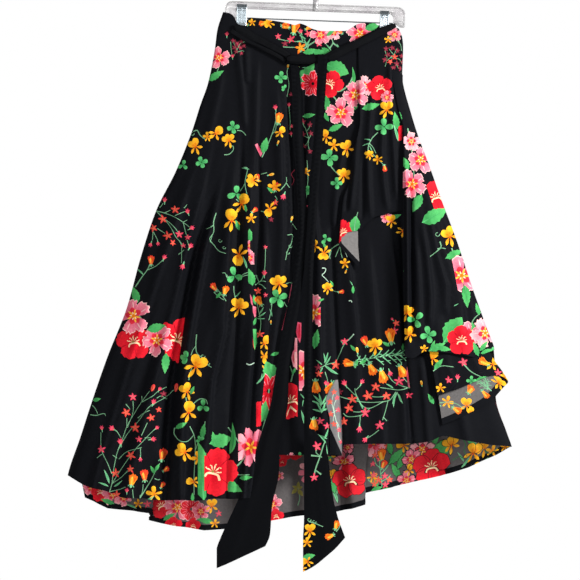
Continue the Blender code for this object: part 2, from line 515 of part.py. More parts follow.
# rod between the legs
rod = bpy.data.objects.new("hanger_rod", bpy.data.meshes.new("hanger_rod"))
bm = bmesh.new()
rod_from, rod_to = FRAME_LEFT + LEG_LEFT + 0.3, FRAME_RIGHT - LEG_RIGHT - 0.3
bmesh.ops.create_cone(bm, cap_ends=True, segments=14, radius1=ROD_RADIUS * 0.001, radius2=ROD_RADIUS * 0.001,
                      depth=(rod_to - rod_from) * 0.001)
for v in bm.verts:
    v.co = (v.co.z + (rod_from + rod_to) * 0.0005, v.co.y, -v.co.x + ROD_Z * 0.001)
bm.to_mesh(rod.data)
bm.free()
bpy.context.scene.collection.objects.link(rod)
rod.data.materials.append(steel)

# wire hook: stem, easy bend, and the round hook over the rail, its inner top at the origin
centre_z = WIRE - HOOK_RADIUS
path = [(0.0, z) for z in np.linspace(BORE_BOTTOM + 0.6, centre_z - HOOK_RADIUS - 6, 5)]
path += [(2.5 * smooth(t) + 0.0, centre_z - HOOK_RADIUS - 6 + 5.0 * t) for t in (0.35, 0.7)]
path += arc(0, centre_z, HOOK_RADIUS, -72, 196, 34)
curve = bpy.data.curves.new("hanger_hook", "CURVE")
curve.dimensions, curve.bevel_depth, curve.bevel_resolution, curve.use_fill_caps = "3D", WIRE * 0.001, 3, True
spline = curve.splines.new("POLY")
spline.points.add(len(path) - 1)
for p, (px, pz) in zip(spline.points, path):
    p.co = (px * 0.001, 0.0, pz * 0.001, 1.0)
hook = bpy.data.objects.new("hanger_hook", curve)
bpy.context.scene.collection.objects.link(hook)
curve.materials.append(steel)

# clips: two plates pinched over the rod by a sprung sleeve
for clip in CLIPS:
    slope = math.tan(math.radians(TILT_DEG))
    lift = clip.x * slope                # the plates' ends are given where they hang; the frame is turned below
    x0, x1 = clip.x - clip.width / 2, clip.x + clip.width / 2
    top, bottom = clip.top + lift, clip.bottom + lift
    for side, sign in (("front", -1), ("back", 1)):
        profile = [(CLIP_INNER, bottom), (CLIP_INNER, top - 6), (CLIP_INNER + 0.8, top - 2), (CLIP_INNER + 1.6, top),
                   (CLIP_INNER + 1.6 + CLIP_THICK, top), (CLIP_INNER + 0.8 + CLIP_THICK, top - 2.4),
                   (CLIP_INNER + CLIP_THICK, top - 6.4), (CLIP_INNER + CLIP_THICK, bottom)]
        verts = [(x * 0.001, sign * y * 0.001, z * 0.001) for x in (x0, x1) for y, z in profile]
        n = len(profile)
        faces = [tuple(range(n)), tuple(range(2 * n - 1, n - 1, -1))]
        faces += [(k, n + k, n + (k + 1) % n, (k + 1) % n) for k in range(n)]
        add_object(f"clip_{clip.name}_{side}", verts, faces, steel)
    ring_solid(f"clip_{clip.name}_spring", clip.x - 5, clip.x + 5, ROD_Z, 2.7, ROD_RADIUS + 0.35, steel)

# the hanger turns about its hook
for obj in bpy.data.objects:
    if obj.name.startswith(("hanger_frame", "hanger_rod", "clip_", "boss_guide", "bore_guide")):
        obj.rotation_euler = (0.0, math.radians(TILT_DEG), 0.0)
hook.rotation_euler = (0.0, math.radians(TILT_DEG), 0.0)

for obj in bpy.data.objects:
    if obj.type == "MESH" and not obj.hide_render:
        obj.data.shade_smooth()
        obj.data.set_sharp_from_angle(angle=math.radians(40))
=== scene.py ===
"""The looks of a flounced wrap skirt that hangs from a clear clip hanger.

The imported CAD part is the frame. Each cloth panel is rebuilt here as a thin two-skinned sheet on its CAD solid's own
layer, with its creases and its printed flowers as real facets: every flower, leaf and stem is drawn by a short
formula, laid on the flat cloth and cut into the panel's mesh, so the print's edges stay sharp at any size.

Places are given on the front view's 2 mm grid (columns to the right, rows down); `grid` turns them into millimetres.
In the code below sizes are millimetres, x across and z up, until `metres` turns them into Blender's.
"""
import math
from collections import namedtuple

import bmesh
import bpy
import numpy as np
from mathutils import Matrix, Vector
from mathutils.geometry import delaunay_2d_cdt


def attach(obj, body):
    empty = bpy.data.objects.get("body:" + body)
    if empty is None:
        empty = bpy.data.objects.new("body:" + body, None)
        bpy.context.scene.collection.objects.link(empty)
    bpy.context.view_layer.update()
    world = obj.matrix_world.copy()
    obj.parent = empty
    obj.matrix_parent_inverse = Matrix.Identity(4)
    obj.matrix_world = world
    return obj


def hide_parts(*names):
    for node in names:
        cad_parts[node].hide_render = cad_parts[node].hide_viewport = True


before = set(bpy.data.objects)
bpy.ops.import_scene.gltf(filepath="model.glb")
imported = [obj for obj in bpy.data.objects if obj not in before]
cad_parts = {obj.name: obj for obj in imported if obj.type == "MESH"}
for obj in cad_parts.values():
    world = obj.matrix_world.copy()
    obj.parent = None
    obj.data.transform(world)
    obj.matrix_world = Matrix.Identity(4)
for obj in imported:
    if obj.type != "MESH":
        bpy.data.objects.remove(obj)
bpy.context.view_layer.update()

# ================================================================ sizes and edges, as the CAD source has them
WAIST_Z = -92.0
BODY_LENGTH = 970.0
GRIP_DROP = 26.0
HALF_GAP = 0.05     # closer than the CAD's layers, so that the side edges look sewn
LENS_POWER = 4.0
TILT_DEG = 2.1

Layer = namedtuple("Layer", "at_waist per_drop")
OUTER, SIDE, DRAPE = Layer(5.6, 50.0), Layer(7.0, 56.0), Layer(4.4, 46.0)
TIER, TIER_IN, UNDER, BACK = Layer(4.5, 42.0), Layer(2.4, 36.0), Layer(1.7, 30.0), Layer(1.7, 42.0)

# side edges as (drop, x), top and hem lines as (share across, drop)
LEFT_SIDE = [(-10, -188), (28, -200), (60, -204), (132, -218), (178, -234), (228, -250), (308, -282), (388, -322),
             (478, -352), (586, -382), (682, -420), (780, -454), (842, -474), (920, -500), (1040, -520)]
RIGHT_SIDE = [(22, 164), (40, 172), (58, 174), (128, 172), (140, 174), (184, 186), (230, 200), (306, 228),
              (368, 250), (448, 280), (544, 312), (628, 342), (668, 356), (700, 358), (764, 360), (834, 382),
              (862, 392), (1040, 430)]
TIER_SIDE = [(600, 334), (628, 342), (668, 360), (700, 374), (728, 394), (764, 392), (840, 388)]
OUTER_FREE = [(88, -50), (248, -34), (368, -28), (548, -34), (668, -54), (848, -90), (962, -118)]
OUTER_TOP = [(0, -10), (0.10, -7), (0.17, 2), (0.20, 12), (0.25, 22), (0.51, 44), (0.75, 68), (1, 88)]
OUTER_HEM = [(0, 920), (0.09, 938), (0.215, 952), (0.28, 960), (0.445, 966), (0.565, 968), (0.71, 966), (1, 962)]
UNDER_LEFT = [(7, -157), (88, -162), (268, -182), (468, -210), (668, -244), (878, -278)]
UNDER_RIGHT = [(23, 164), (40, 171), (58, 173), (90, 172), (112, 168), (140, 167), (184, 176), (230, 188), (306, 211),
               (368, 230), (448, 256), (544, 284), (628, 312), (700, 334), (764, 354), (834, 379), (862, 390)]
UNDER_TOP = [(0, 7), (0.045, 7), (0.07, 1), (0.19, 6), (0.30, 12), (0.352, 16), (0.383, 13), (0.414, 16), (0.464, 24),
             (0.52, 28), (0.664, 28), (0.695, 24), (0.745, 14), (0.80, 12), (0.855, 13), (0.87, 16.5), (0.92, 16.5),
             (0.94, 17), (1, 23)]
UNDER_HEM = [(0, 878), (0.275, 878), (0.374, 879), (0.489, 880), (0.4965, 858), (0.545, 856), (0.641, 856),
             (0.7275, 854), (0.772, 846), (0.793, 840), (0.838, 846), (0.901, 854), (0.934, 858), (1, 862)]
DRAPE_LEFT = [(60, 82), (140, 84), (204, 86), (282, 70), (332, 64), (366, 52), (406, 48), (458, 44)]
DRAPE_RIGHT = [(34, 150), (104, 154), (178, 172), (232, 184), (430, 190)]
DRAPE_TOP = [(0, 60), (0.4, 46), (0.8, 37), (1, 34)]
DRAPE_HEM = [(0, 458), (0.07, 437), (0.18, 431), (0.315, 428), (0.38, 416), (0.466, 406), (0.55, 400), (0.62, 398),
             (0.86, 390), (1, 390)]
SIDE_LEFT = [(104, 148), (178, 162), (232, 174), (368, 172), (568, 174), (682, 176)]
SIDE_HEM = [(0, 682), (0.08, 684), (0.23, 670), (0.38, 672), (0.6, 676), (0.77, 682), (0.92, 673), (1, 668)]
TURNED_LEFT = [(728, 37), (770, 18), (810, 26), (878, 26)]
TURNED_RIGHT = [(728, 42), (770, 46), (850, 50), (878, 50)]
TIER_NEAR = [(220, 660), (238, 760), (258, 752), (284, 744), (302, 736), (320, 728), (338, 721), (352, 718), (366, 720),
             (377, 726), (382, 731)]
TIER_FAR = [(382, 731), (379, 736), (372, 742), (356, 760), (336, 775), (318, 786), (290, 800), (268, 810), (248, 818)]
BACK_HEM = [(-498, 915), (-474, 931), (-467, 966), (-422, 988), (-376, 994), (-328, 1000), (-341, 1013), (-284, 1026),
            (-228, 1034), (-154, 1030), (-90, 1014), (-28, 1004), (34, 998), (72, 990), (99, 982), (77, 964), (110, 956),
            (150, 948), (204, 934), (252, 924), (306, 906), (362, 880), (389, 863)]
BACK_TOP = [(0, 28), (0.08, 24), (0.115, 15), (0.19, 5), (0.40, 17), (0.55, 31), (0.72, 31), (0.82, 16), (0.95, 20),
            (1, 26)]


# ================================================================ small maths
def grid(points):
    """Columns and rows of the 2 mm grid to x and z in mm, z down from the waist line."""
    p = np.asarray(points, float)
    return np.stack([(p[..., 0] - 317) * 2, -(p[..., 1] - 16) * 2], axis=-1)


def hermite(xs, ys, at):
    xs, ys, at = np.asarray(xs, float), np.asarray(ys, float), np.asarray(at, float)
    step, rise = np.diff(xs), np.diff(ys)
    slope = rise / step
    m = np.empty(len(xs))
    m[0], m[-1] = slope[0], slope[-1]
    a, b = slope[:-1], slope[1:]
    both = a * b > 0
    mid = np.zeros(len(a))
    w1, w2 = 2 * step[1:] + step[:-1], step[1:] + 2 * step[:-1]
    mid[both] = (w1 + w2)[both] / (w1[both] / a[both] + w2[both] / b[both])
    m[1:-1] = mid
    at = np.clip(at, xs[0], xs[-1])
    k = np.clip(np.searchsorted(xs, at, side="right") - 1, 0, len(xs) - 2)
    h = step[k]
    t = (at - xs[k]) / h
    return ((2 * t**3 - 3 * t**2 + 1) * ys[k] + (t**3 - 2 * t**2 + t) * h * m[k]
            + (3 * t**2 - 2 * t**3) * ys[k + 1] + (t**3 - t**2) * h * m[k + 1])


def along(table, at):
    return hermite([r[0] for r in table], [r[1] for r in table], at)


def smooth(t):
    t = np.clip(t, 0.0, 1.0)
    return t * t * (3 - 2 * t)


def opening(drop):
    return np.clip((drop - GRIP_DROP) / (BODY_LENGTH - GRIP_DROP), 0, 1.1)


def lens(x, drop, right=RIGHT_SIDE):
    left, far = along(LEFT_SIDE, drop), along(right, drop)
    across = np.clip(2 * (x - left) / (far - left) - 1, -1, 1)
    return np.clip(1 - np.abs(across) ** LENS_POWER, 0, 1) ** (0.25 + 0.35 * opening(drop))


def stand_off(layer, x, drop, right=RIGHT_SIDE):
    return HALF_GAP + lens(x, drop, right) * (layer.at_waist + layer.per_drop * opening(drop))


def value_noise(x, z, cell, seed):
    """Smooth noise from -1 to 1 on a lattice, the same each run."""
    gx, gz = x / cell, z / cell
    ix, iz = np.floor(gx), np.floor(gz)
    fx, fz = smooth(gx - ix), smooth(gz - iz)

    def corner(a, b):
        h = np.sin(a * 127.1 + b * 311.7 + seed * 74.7) * 43758.5453
        return 2 * (h - np.floor(h)) - 1

    return ((corner(ix, iz) * (1 - fx) + corner(ix + 1, iz) * fx) * (1 - fz)
            + (corner(ix, iz + 1) * (1 - fx) + corner(ix + 1, iz + 1) * fx) * fz)


def inside(points, poly):
    """Which points a closed outline winds round."""
    x, z = points[:, 0], points[:, 1]
    turns = np.zeros(len(points), int)
    n = len(poly)
    for k in range(n):
        (x0, z0), (x1, z1) = poly[k], poly[(k + 1) % n]
        if z0 == z1:
            continue
        cross = ((z0 > z) != (z1 > z)) & (x < (x1 - x0) * (z - z0) / (z1 - z0) + x0)
        turns += np.where(cross, 1 if z1 > z0 else -1, 0)
    return turns != 0


def resample(poly, step):
    """A closed outline with a point every step or so, its corners kept."""
    out = []
    n = len(poly)
    for k in range(n):
        a, b = np.asarray(poly[k], float), np.asarray(poly[(k + 1) % n], float)
        parts = max(1, int(round(np.hypot(*(b - a)) / step)))
        out += [a + (b - a) * j / parts for j in range(parts)]
    return np.array(out)


# ================================================================ print: inks and motifs
def ink(r, g, b):
    """A printed colour from the usual 0 to 255 scale to linear light."""
    v = np.array([r, g, b], float) / 255
    return np.where(v <= 0.04045, v / 12.92, ((v + 0.055) / 1.055) ** 2.4)


BLACK = ink(13, 14, 18)
GREY = ink(118, 115, 115)
TIE_BLACK = ink(5, 6, 9)
INKS = {
    "pink": (ink(216, 74, 106), ink(236, 130, 148)), "pink_pale": (ink(236, 112, 134), ink(247, 174, 180)),
    "pink_deep": (ink(190, 40, 68), ink(216, 86, 112)), "blush": (ink(246, 178, 178), ink(248, 192, 188)),
    "blotch": (ink(190, 20, 40), ink(222, 52, 68)),
    "red": (ink(196, 16, 34), ink(226, 32, 46)), "red_edge": (ink(230, 60, 74), ink(236, 74, 84)),
    "red_dark": (ink(150, 8, 24), ink(176, 14, 32)), "cream": (ink(253, 222, 180), ink(250, 206, 160)),
    "yellow": (ink(226, 130, 20), ink(248, 184, 40)), "yellow_pale": (ink(240, 160, 44), ink(250, 202, 84)),
    "amber": (ink(216, 96, 18), ink(236, 140, 28)), "orange": (ink(246, 166, 44), ink(232, 100, 26)),
    "orange_deep": (ink(204, 64, 16), ink(222, 88, 20)), "ember": (ink(238, 110, 50), ink(226, 62, 40)),
    "green": (ink(58, 146, 82), ink(92, 186, 112)), "green_flat": (ink(60, 150, 80), ink(86, 180, 100)),
    "green_pale": (ink(100, 176, 124), ink(128, 196, 146)), "green_dark": (ink(40, 116, 64), ink(46, 126, 70)),
    "stem": (ink(108, 160, 120), ink(124, 176, 134)), "stem_pale": (ink(176, 204, 182), ink(184, 212, 190)),
    "star": (ink(240, 96, 104), ink(214, 48, 88)), "star_red": (ink(240, 104, 76), ink(224, 56, 60)),
    "star_dim": (ink(150, 54, 70), ink(130, 36, 52)), "olive": (ink(120, 120, 52), ink(150, 140, 70)),
    "white": (ink(236, 226, 220), ink(240, 232, 228)), "black": (BLACK, BLACK), "hem": (BLACK, BLACK),
}


class Print:
    """Printed shapes in painting order, each an outline with a colour that runs from its middle to its rim."""

    def __init__(self, least=0.2):
        self.shapes = []
        self.rule = None
        self.least = least               # square millimetres under which a mark is left out
        self.outlined = False            # a thin dark line round each shape, as the print shows from behind

    def add(self, points, name, centre=None, reach=None):
        points = np.asarray(points, float)
        if self.rule is not None:
            points = cut(points, self.rule)
            if len(points) < 3:
                return
        middle = points.mean(0) if centre is None else np.asarray(centre, float)
        far = np.hypot(*(points - middle).T).max() if reach is None else reach
        inner, outer = INKS[name]
        x, z = points[:, 0], points[:, 1]
        area = 0.5 * np.sum(x * np.roll(z, -1) - np.roll(x, -1) * z)
        if abs(area) < self.least:
            return
        if area < 0:
            points = points[::-1]                      # every outline runs anticlockwise
        if self.outlined and abs(area) > 60:
            mid = points.mean(0)
            grown = mid + (points - mid) * (1 + 1.0 / math.sqrt(abs(area) / math.pi))
            self.shapes.append((grown, *INKS["black"], mid, 1.0))
        self.shapes.append((points, inner, outer, middle, max(far, 1e-6)))


def cut(points, rule):
    """The part of an outline on the left of each directed line (x0, z0, x1, z1)."""
    for x0, z0, x1, z1 in rule:
        out, n = [], len(points)
        side = (x1 - x0) * (points[:, 1] - z0) - (z1 - z0) * (points[:, 0] - x0)
        for k in range(n):
            j = (k + 1) % n
            if side[k] >= 0:
                out.append(points[k])
            if (side[k] >= 0) != (side[j] >= 0):
                t = side[k] / (side[k] - side[j])
                out.append(points[k] + (points[j] - points[k]) * t)
        points = np.array(out) if out else np.zeros((0, 2))
        if len(points) < 3:
            return points
    return points


def spin(points, degrees):
    a = math.radians(degrees)
    c, s = math.cos(a), math.sin(a)
    p = np.asarray(points, float)
    return np.stack([p[..., 0] * c - p[..., 1] * s, p[..., 0] * s + p[..., 1] * c], axis=-1)


class Place:
    """Carries a motif drawn about (0, 0), one unit in reach and growing upwards, to its place on the cloth."""

    def __init__(self, column, row, size, turn=0.0, flip=False):
        self.at, self.size, self.turn, self.flip = grid((column, row)), size * 2.0, turn, flip

    def __call__(self, points):
        p = np.array(points, float)
        if self.flip:
            p[..., 0] = -p[..., 0]
        return spin(p, self.turn) * self.size + self.at


FINE = [1.0]      # how finely petals are drawn


def petal(direction, reach, long, wide, pinch=0.35, teeth=0.0, n=18):
    """An oval that leaves the middle towards `direction`, narrower at its foot, its rim toothed if asked."""
    n = max(8, int(n * FINE[0] / 2) * 2)
    a = np.linspace(0, 2 * math.pi, n, endpoint=False)
    c, s = np.cos(a), np.sin(a)
    grow = 1 + np.where(c > -0.1, teeth * np.where(np.arange(n) % 2 == 0, 1, -1), 0)
    x = reach + long * c * grow
    y = wide * s * (1 - pinch * (1 - c) / 2) * grow
    return spin(np.stack([x, y], axis=-1), direction)


def blade(direction, start, length, wide, bend=0.0, fat=0.45, teeth=0.0, n=7):
    """A pointed leaf from `start` out of the middle, bent to one side."""
    t = np.linspace(0, 1, n + 2)[1:-1]
    w = wide * np.sin(math.pi * t ** (math.log(0.5) / math.log(fat)))
    w = w * (1 + teeth * np.where(np.arange(n) % 2 == 0, 1, -1))
    spine = bend * length * t * t
    left, right = np.stack([t * length, spine + w], -1), np.stack([t * length, spine - w], -1)
    pts = np.concatenate([[[0, 0]], left, [[length, bend * length]], right[::-1]])
    pts[:, 0] += start
    return spin(pts, direction)


def ring(cx, cy, radius, n=8, squash=1.0):
    a = np.linspace(0, 2 * math.pi, n, endpoint=False)
    return np.stack([cx + radius * np.cos(a), cy + radius * squash * np.sin(a)], -1)


def ribbon(points, w0, w1, parts=4):
    """A thin strip along a smooth line through the points; half widths at its two ends."""
    p = np.asarray(points, float)
    if len(p) > 2:
        ext = np.concatenate([[2 * p[0] - p[1]], p, [2 * p[-1] - p[-2]]])
        out = []
        for k in range(1, len(ext) - 2):
            a, b, c, d = ext[k - 1], ext[k], ext[k + 1], ext[k + 2]
            for t in np.arange(parts) / parts:
                out.append(0.5 * (2 * b + (c - a) * t + (2 * a - 5 * b + 4 * c - d) * t * t
                                  + (3 * b - a - 3 * c + d) * t**3))
        p = np.array(out + [p[-1]])
    way = np.gradient(p, axis=0)
    way /= np.maximum(np.hypot(way[:, 0], way[:, 1]), 1e-9)[:, None]
    side = np.stack([-way[:, 1], way[:, 0]], -1) * np.linspace(w0, w1, len(p))[:, None]
    return np.concatenate([p + side, (p - side)[::-1]])


def chance(k, seed):
    h = math.sin(k * 12.9898 + seed * 78.233) * 43758.5453
    return h - math.floor(h)


def ragged(direction, reach, long, wide, seed, pinch=0.4, nick=0.09, n=26):
    """A broad petal whose far rim is nicked unevenly."""
    n = max(12, int(n * FINE[0]))
    a = np.linspace(0, 2 * math.pi, n, endpoint=False)
    c, q = np.cos(a), np.sin(a)
    far = np.clip((c + 0.35) / 0.8, 0, 1)
    h = np.array([chance(k, seed) for k in range(n)])
    grow = 1 + far * nick * (1.6 * h - 0.9) - far * nick * 0.9 * (np.arange(n) % 3 == 0)
    return spin(np.stack([reach + long * c * grow, wide * q * (1 - pinch * (1 - c) / 2) * grow], axis=-1), direction)


def pink(out, at, teeth=0.05, pale=False, petals=5):
    tone = "pink_pale" if pale else "pink"
    o, key = at((0, 0)), float(at.at[0] + at.at[1])
    turns = [90 + 360 / petals * k + 18 * (chance(k, key) - 0.5) for k in range(petals)]
    reach = [0.92 + 0.18 * chance(k + 9, key) for k in range(petals)]
    for k in (1, 4, 2, 0, 3)[:petals]:
        r = reach[k]
        shape = ragged(turns[k], 0.56 * r, 0.46 * r, 0.52, key + k, 0.62, 0.17, 30)
        out.add(at(shape * 1.03), "blush")
        out.add(at(shape * 0.97), tone, o, at.size)
        out.add(at(blade(turns[k] - 11, 0.48, 0.40 * r, 0.035, 0.1)), "blush", o, at.size)
    for k in range(petals):
        out.add(at(blade(turns[k], 0.06, 0.46, 0.17, 0, 0.60)), "blotch", o, at.size * 0.6)
    for k in range(petals):
        out.add(at(blade(turns[k] + 33, 0.0, 0.42, 0.056, 0.08, 0.6)), "yellow_pale")
        out.add(at(blade(turns[k] + 4, 0.02, 0.24, 0.035, 0.0, 0.6)), "cream")
    out.add(at(ring(0, 0, 0.12, 8)), "amber")


def red(out, at, petals=5, stamens=True):
    """A wide hibiscus: overlapping lobes with a frilled rim, pale stamens and one long curved pair under them."""
    o, key = at((0, 0)), float(at.at[0] * 0.7 + at.at[1])
    turns = [90 + 360 / petals * k + 14 * (chance(k, key) - 0.5) for k in range(petals)]
    for k in range(petals):
        out.add(at(ragged(turns[k], 0.52, 0.49, 0.55, key + k, 0.3, 0.075, 30)), "red", o, at.size)
    for k in range(petals):
        out.add(at(blade(turns[k] + 36, 0.36, 0.50, 0.018, 0.06)), "red_dark")
    if stamens:
        for a, d, l, w, b in ((84, 0.02, 0.30, 0.030, 0.1), (128, 0.03, 0.26, 0.028, -0.2), (42, 0.04, 0.30, 0.030, 0.2),
                              (160, 0.05, 0.30, 0.028, 0.1), (12, 0.05, 0.26, 0.028, -0.1)):
            out.add(at(blade(a, d, l, w, b, 0.65)), "cream")
            out.add(at(ring((d + l) * math.cos(math.radians(a)), (d + l) * math.sin(math.radians(a)), 0.032, 5)), "cream")
        out.add(at(ribbon([(-0.30, -0.26), (-0.22, -0.10), (0.0, -0.06), (0.22, -0.09), (0.34, -0.27)], 0.040, 0.048)), "cream")
        out.add(at(ring(-0.03, 0.01, 0.055, 6)), "olive")


def carnation(out, at):
    """The fringed red bloom with pale rims."""
    o, key = at((0, 0)), float(at.at[0] + 2 * at.at[1])
    for k in range(7):
        shape = ragged(90 + 51.4 * k, 0.56, 0.45, 0.36, key + k, 0.45, 0.12, 24)
        out.add(at(shape * 1.04), "pink_pale")
        out.add(at(shape * 0.97), "red", o, at.size)
    for k in range(7):
        for d in (-13, 7):
            out.add(at(blade(90 + 51.4 * k + d, 0.34, 0.50, 0.022, 0.06)), "pink_pale")
        out.add(at(blade(90 + 51.4 * (k + 0.5), 0.16, 0.44, 0.03)), "red_dark")


def fringed(out, at):
    """The wide pink bloom with a comb-like rim."""
    o, key = at((0, 0)), float(at.at[0] - at.at[1])
    for k in range(9):
        out.add(at(ragged(90 + 40 * k, 0.60, 0.42, 0.27, key + k, 0.5, 0.11, 20)), "pink_pale" if k % 2 else "pink", o, at.size)
        out.add(at(blade(90 + 40 * k + 16, 0.42, 0.44, 0.016)), "pink_deep")
    for k in range(5):
        out.add(at(blade(90 + 72 * k, 0.06, 0.44, 0.15, 0, 0.6)), "blotch", o, at.size * 0.6)
        out.add(at(blade(126 + 72 * k, 0.02, 0.36, 0.06)), "yellow_pale")
    out.add(at(ring(0, 0, 0.12, 8)), "amber")


def pansy(out, at, kind=0):
    """The yellow bloom: broad round lobes on one side, narrow petals on the other."""
    o, key = at((0, 0)), float(at.at[0] + at.at[1])
    lobes = (((58, 0.46, 0.50, 0.44), (124, 0.44, 0.46, 0.42)), ((90, 0.46, 0.54, 0.54), (60, 0.40, 0.46, 0.36)),
             ((34, 0.44, 0.46, 0.38), (146, 0.48, 0.48, 0.42), (92, 0.40, 0.44, 0.36)))[kind % 3]
    for a, l, w, b in ((206, 0.92, 0.15, 0.14), (264, 1.04, 0.15, -0.12), (318, 0.86, 0.16, 0.12)):
        out.add(at(blade(a + 12 * (chance(a, key) - 0.5), 0.0, l, w, b, 0.66)), "yellow", o, at.size)
    for a, r, l, w in lobes:
        out.add(at(ragged(a, r, l, w, key + a, 0.4, 0.035, 18)), "yellow", o, at.size * 0.8)
    for a, r, l, w in lobes[:2]:
        out.add(at(blade(a, 0.12, 0.30, 0.045)), "amber")
    out.add(at(blade(262, -0.02, 0.26, 0.09, 0.0, 0.5)), "orange_deep")


def bloomlet(out, at, kind=0):
    """A small yellow bloom: two wider petals and three narrow ones."""
    o, key = at((0, 0)), float(at.at[0] + at.at[1])
    for k in range(5):
        w = 0.34 if k in (0, 1) else 0.20
        out.add(at(petal(90 + 72 * k + 9 * kind + 20 * (chance(k, key) - 0.5), 0.52, 0.48, w, 0.5, 0.0, 12)), "yellow", o, at.size)
    out.add(at(blade(80, -0.05, 0.34, 0.09)), "amber")


def yellow_bud(out, at):
    out.add(at(petal(90, 0.42, 0.58, 0.30, 0.5, 0.0, 14)), "yellow_pale", at((0, 0.1)), at.size)
    out.add(at(blade(88, 0.15, 0.55, 0.07)), "amber")
    out.add(at(petal(270, 0.18, 0.22, 0.14, 0.3, 0.0, 10)), "green_pale")


def bell(out, at, tone="orange"):
    """An orange bell, its mouth up and frilled."""
    key = float(at.at[0] + at.at[1])
    rim = [(-0.50, 0.56), (-0.44, 0.80), (-0.28, 0.78), (-0.14, 1.0), (0.02, 0.86), (0.16, 0.98), (0.30, 0.80),
           (0.46, 0.80), (0.50, 0.50)]
    rim = [(x, z + 0.10 * (chance(k, key) - 0.5)) for k, (x, z) in enumerate(rim)]
    body = [(0.34, 0.16), (0.26, -0.14), (0.12, -0.42), (0.0, -0.50), (-0.13, -0.42), (-0.28, -0.12), (-0.38, 0.20)]
    out.add(at(rim + body), tone, at((0, -0.4)), at.size * 1.3)
    out.add(at([(-0.28, 0.40), (-0.10, 0.66), (0.02, 0.34), (-0.02, -0.22), (-0.14, 0.0)]), "yellow_pale")
    out.add(at([(0.12, 0.50), (0.32, 0.60), (0.26, 0.16), (0.13, -0.08)]), "orange_deep")
    out.add(at(petal(270, 0.46, 0.22, 0.15, 0.2, 0.0, 8)), "green_pale")
    out.add(at(blade(240, 0.36, 0.34, 0.05)), "green_pale")
    out.add(at(blade(300, 0.36, 0.34, 0.05)), "green_pale")


def star(out, at, points=5, tone="star"):
    key = float(at.at[0] + at.at[1])
    for k in range(points):
        r = 0.86 + 0.3 * chance(k, key)
        out.add(at(blade(90 + 360 / points * k + 16 * (chance(k + 5, key) - 0.5), -0.06, r, 0.20, 0.06, 0.52)), tone, at((0, 0)), at.size)
    out.add(at(ring(0, 0, 0.24, 8)), tone, at((0, 0)), at.size)
    out.add(at(ring(0.02, 0.02, 0.085, 5)), "blotch")


def floret(out, at, tone="star"):
    """A star seen from the side: a short tube opening into points."""
    out.add(at([(-0.12, -0.45), (-0.34, 0.0), (-0.62, 0.46), (-0.30, 0.46), (-0.24, 0.95), (0.0, 0.56), (0.30, 0.95),
                (0.32, 0.44), (0.64, 0.36), (0.30, -0.05), (0.12, -0.45)]), tone, at((0, -0.3)), at.size * 1.2)
    out.add(at([(-0.15, -0.25), (0.15, -0.25), (0.07, -0.95), (-0.07, -0.95)]), "green_pale")


def clover(out, at, lobes=4, spread=360.0):
    o, key = at((0, 0)), float(at.at[0] + at.at[1])
    for k in range(lobes):
        a = 90 + spread / lobes * (k - (lobes - 1) / 2 if spread < 360 else k) + 14 * (chance(k, key) - 0.5)
        r = 0.92 + 0.18 * chance(k + 3, key)
        shape = petal(a, 0.52 * r, 0.46 * r, 0.42, 0.5, 0.0, 14)
        out.add(at(shape), "green", o, at.size)
    for k in range(lobes):
        a = 90 + spread / lobes * (k - (lobes - 1) / 2 if spread < 360 else k) + 14 * (chance(k, key) - 0.5)
        out.add(at(blade(a, 0.10, 0.50, 0.022)), "green_dark")


def leaf(out, at, wide=0.36, teeth=0.10, bend=0.0, fat=0.42):
    """A leaf from its foot at (0, -1) to its point at (0, 1), coarse teeth along both edges."""
    count, left, right = 5, [], []
    for side, run in ((1, left), (-1, right)):
        for k in range(1, count + 1):
            for part, push in ((-0.30, 1.0 - 1.1 * teeth), (0.06, 1.0 + 1.2 * teeth)):
                t = (k + part) / (count + 0.75)
                w = wide * math.sin(math.pi * t ** (math.log(0.5) / math.log(fat))) * push
                run.append((side * w - bend * 4 * t * t * 0.5, -1 + 2 * t))
    shape = np.array([(0, -1.0)] + right + [(-bend * 2.0, 1.0)] + left[::-1])
    out.add(at(shape), "green_flat", at((0, -0.9)), at.size * 2)
    out.add(at(ribbon([(0, -1.0), (-bend * 0.5, 0.0), (-bend * 1.4, 0.66)], 0.030, 0.010)), "green")


def slim_leaf(out, at, wide=0.16, bend=0.15, tone="green_pale"):
    out.add(at(blade(90, -1.0, 2.0, wide, bend, 0.42, 0.0, 7)), tone)
    out.add(at(blade(90, -0.9, 1.5, 0.025, bend * 0.9)), "green_dark")


def stem(out, points, wide=0.45, thin=0.3, tone="stem", rows=True):
    """A line on the cloth through grid places; half widths in grid steps."""
    out.add(ribbon(grid(points) if rows else points, wide * 2, thin * 2), tone)


def tendril(out, points, curls=(), wide=0.55):
    stem(out, points, wide, 0.35)
    for c, r, size in curls:
        a = np.linspace(0, 5.2, 9)
        rr = size * (1 - 0.55 * a / 5.2)
        stem(out, np.stack([c + rr * np.cos(a) - rr[-1], r + rr * np.sin(a)], -1), 0.38, 0.26)


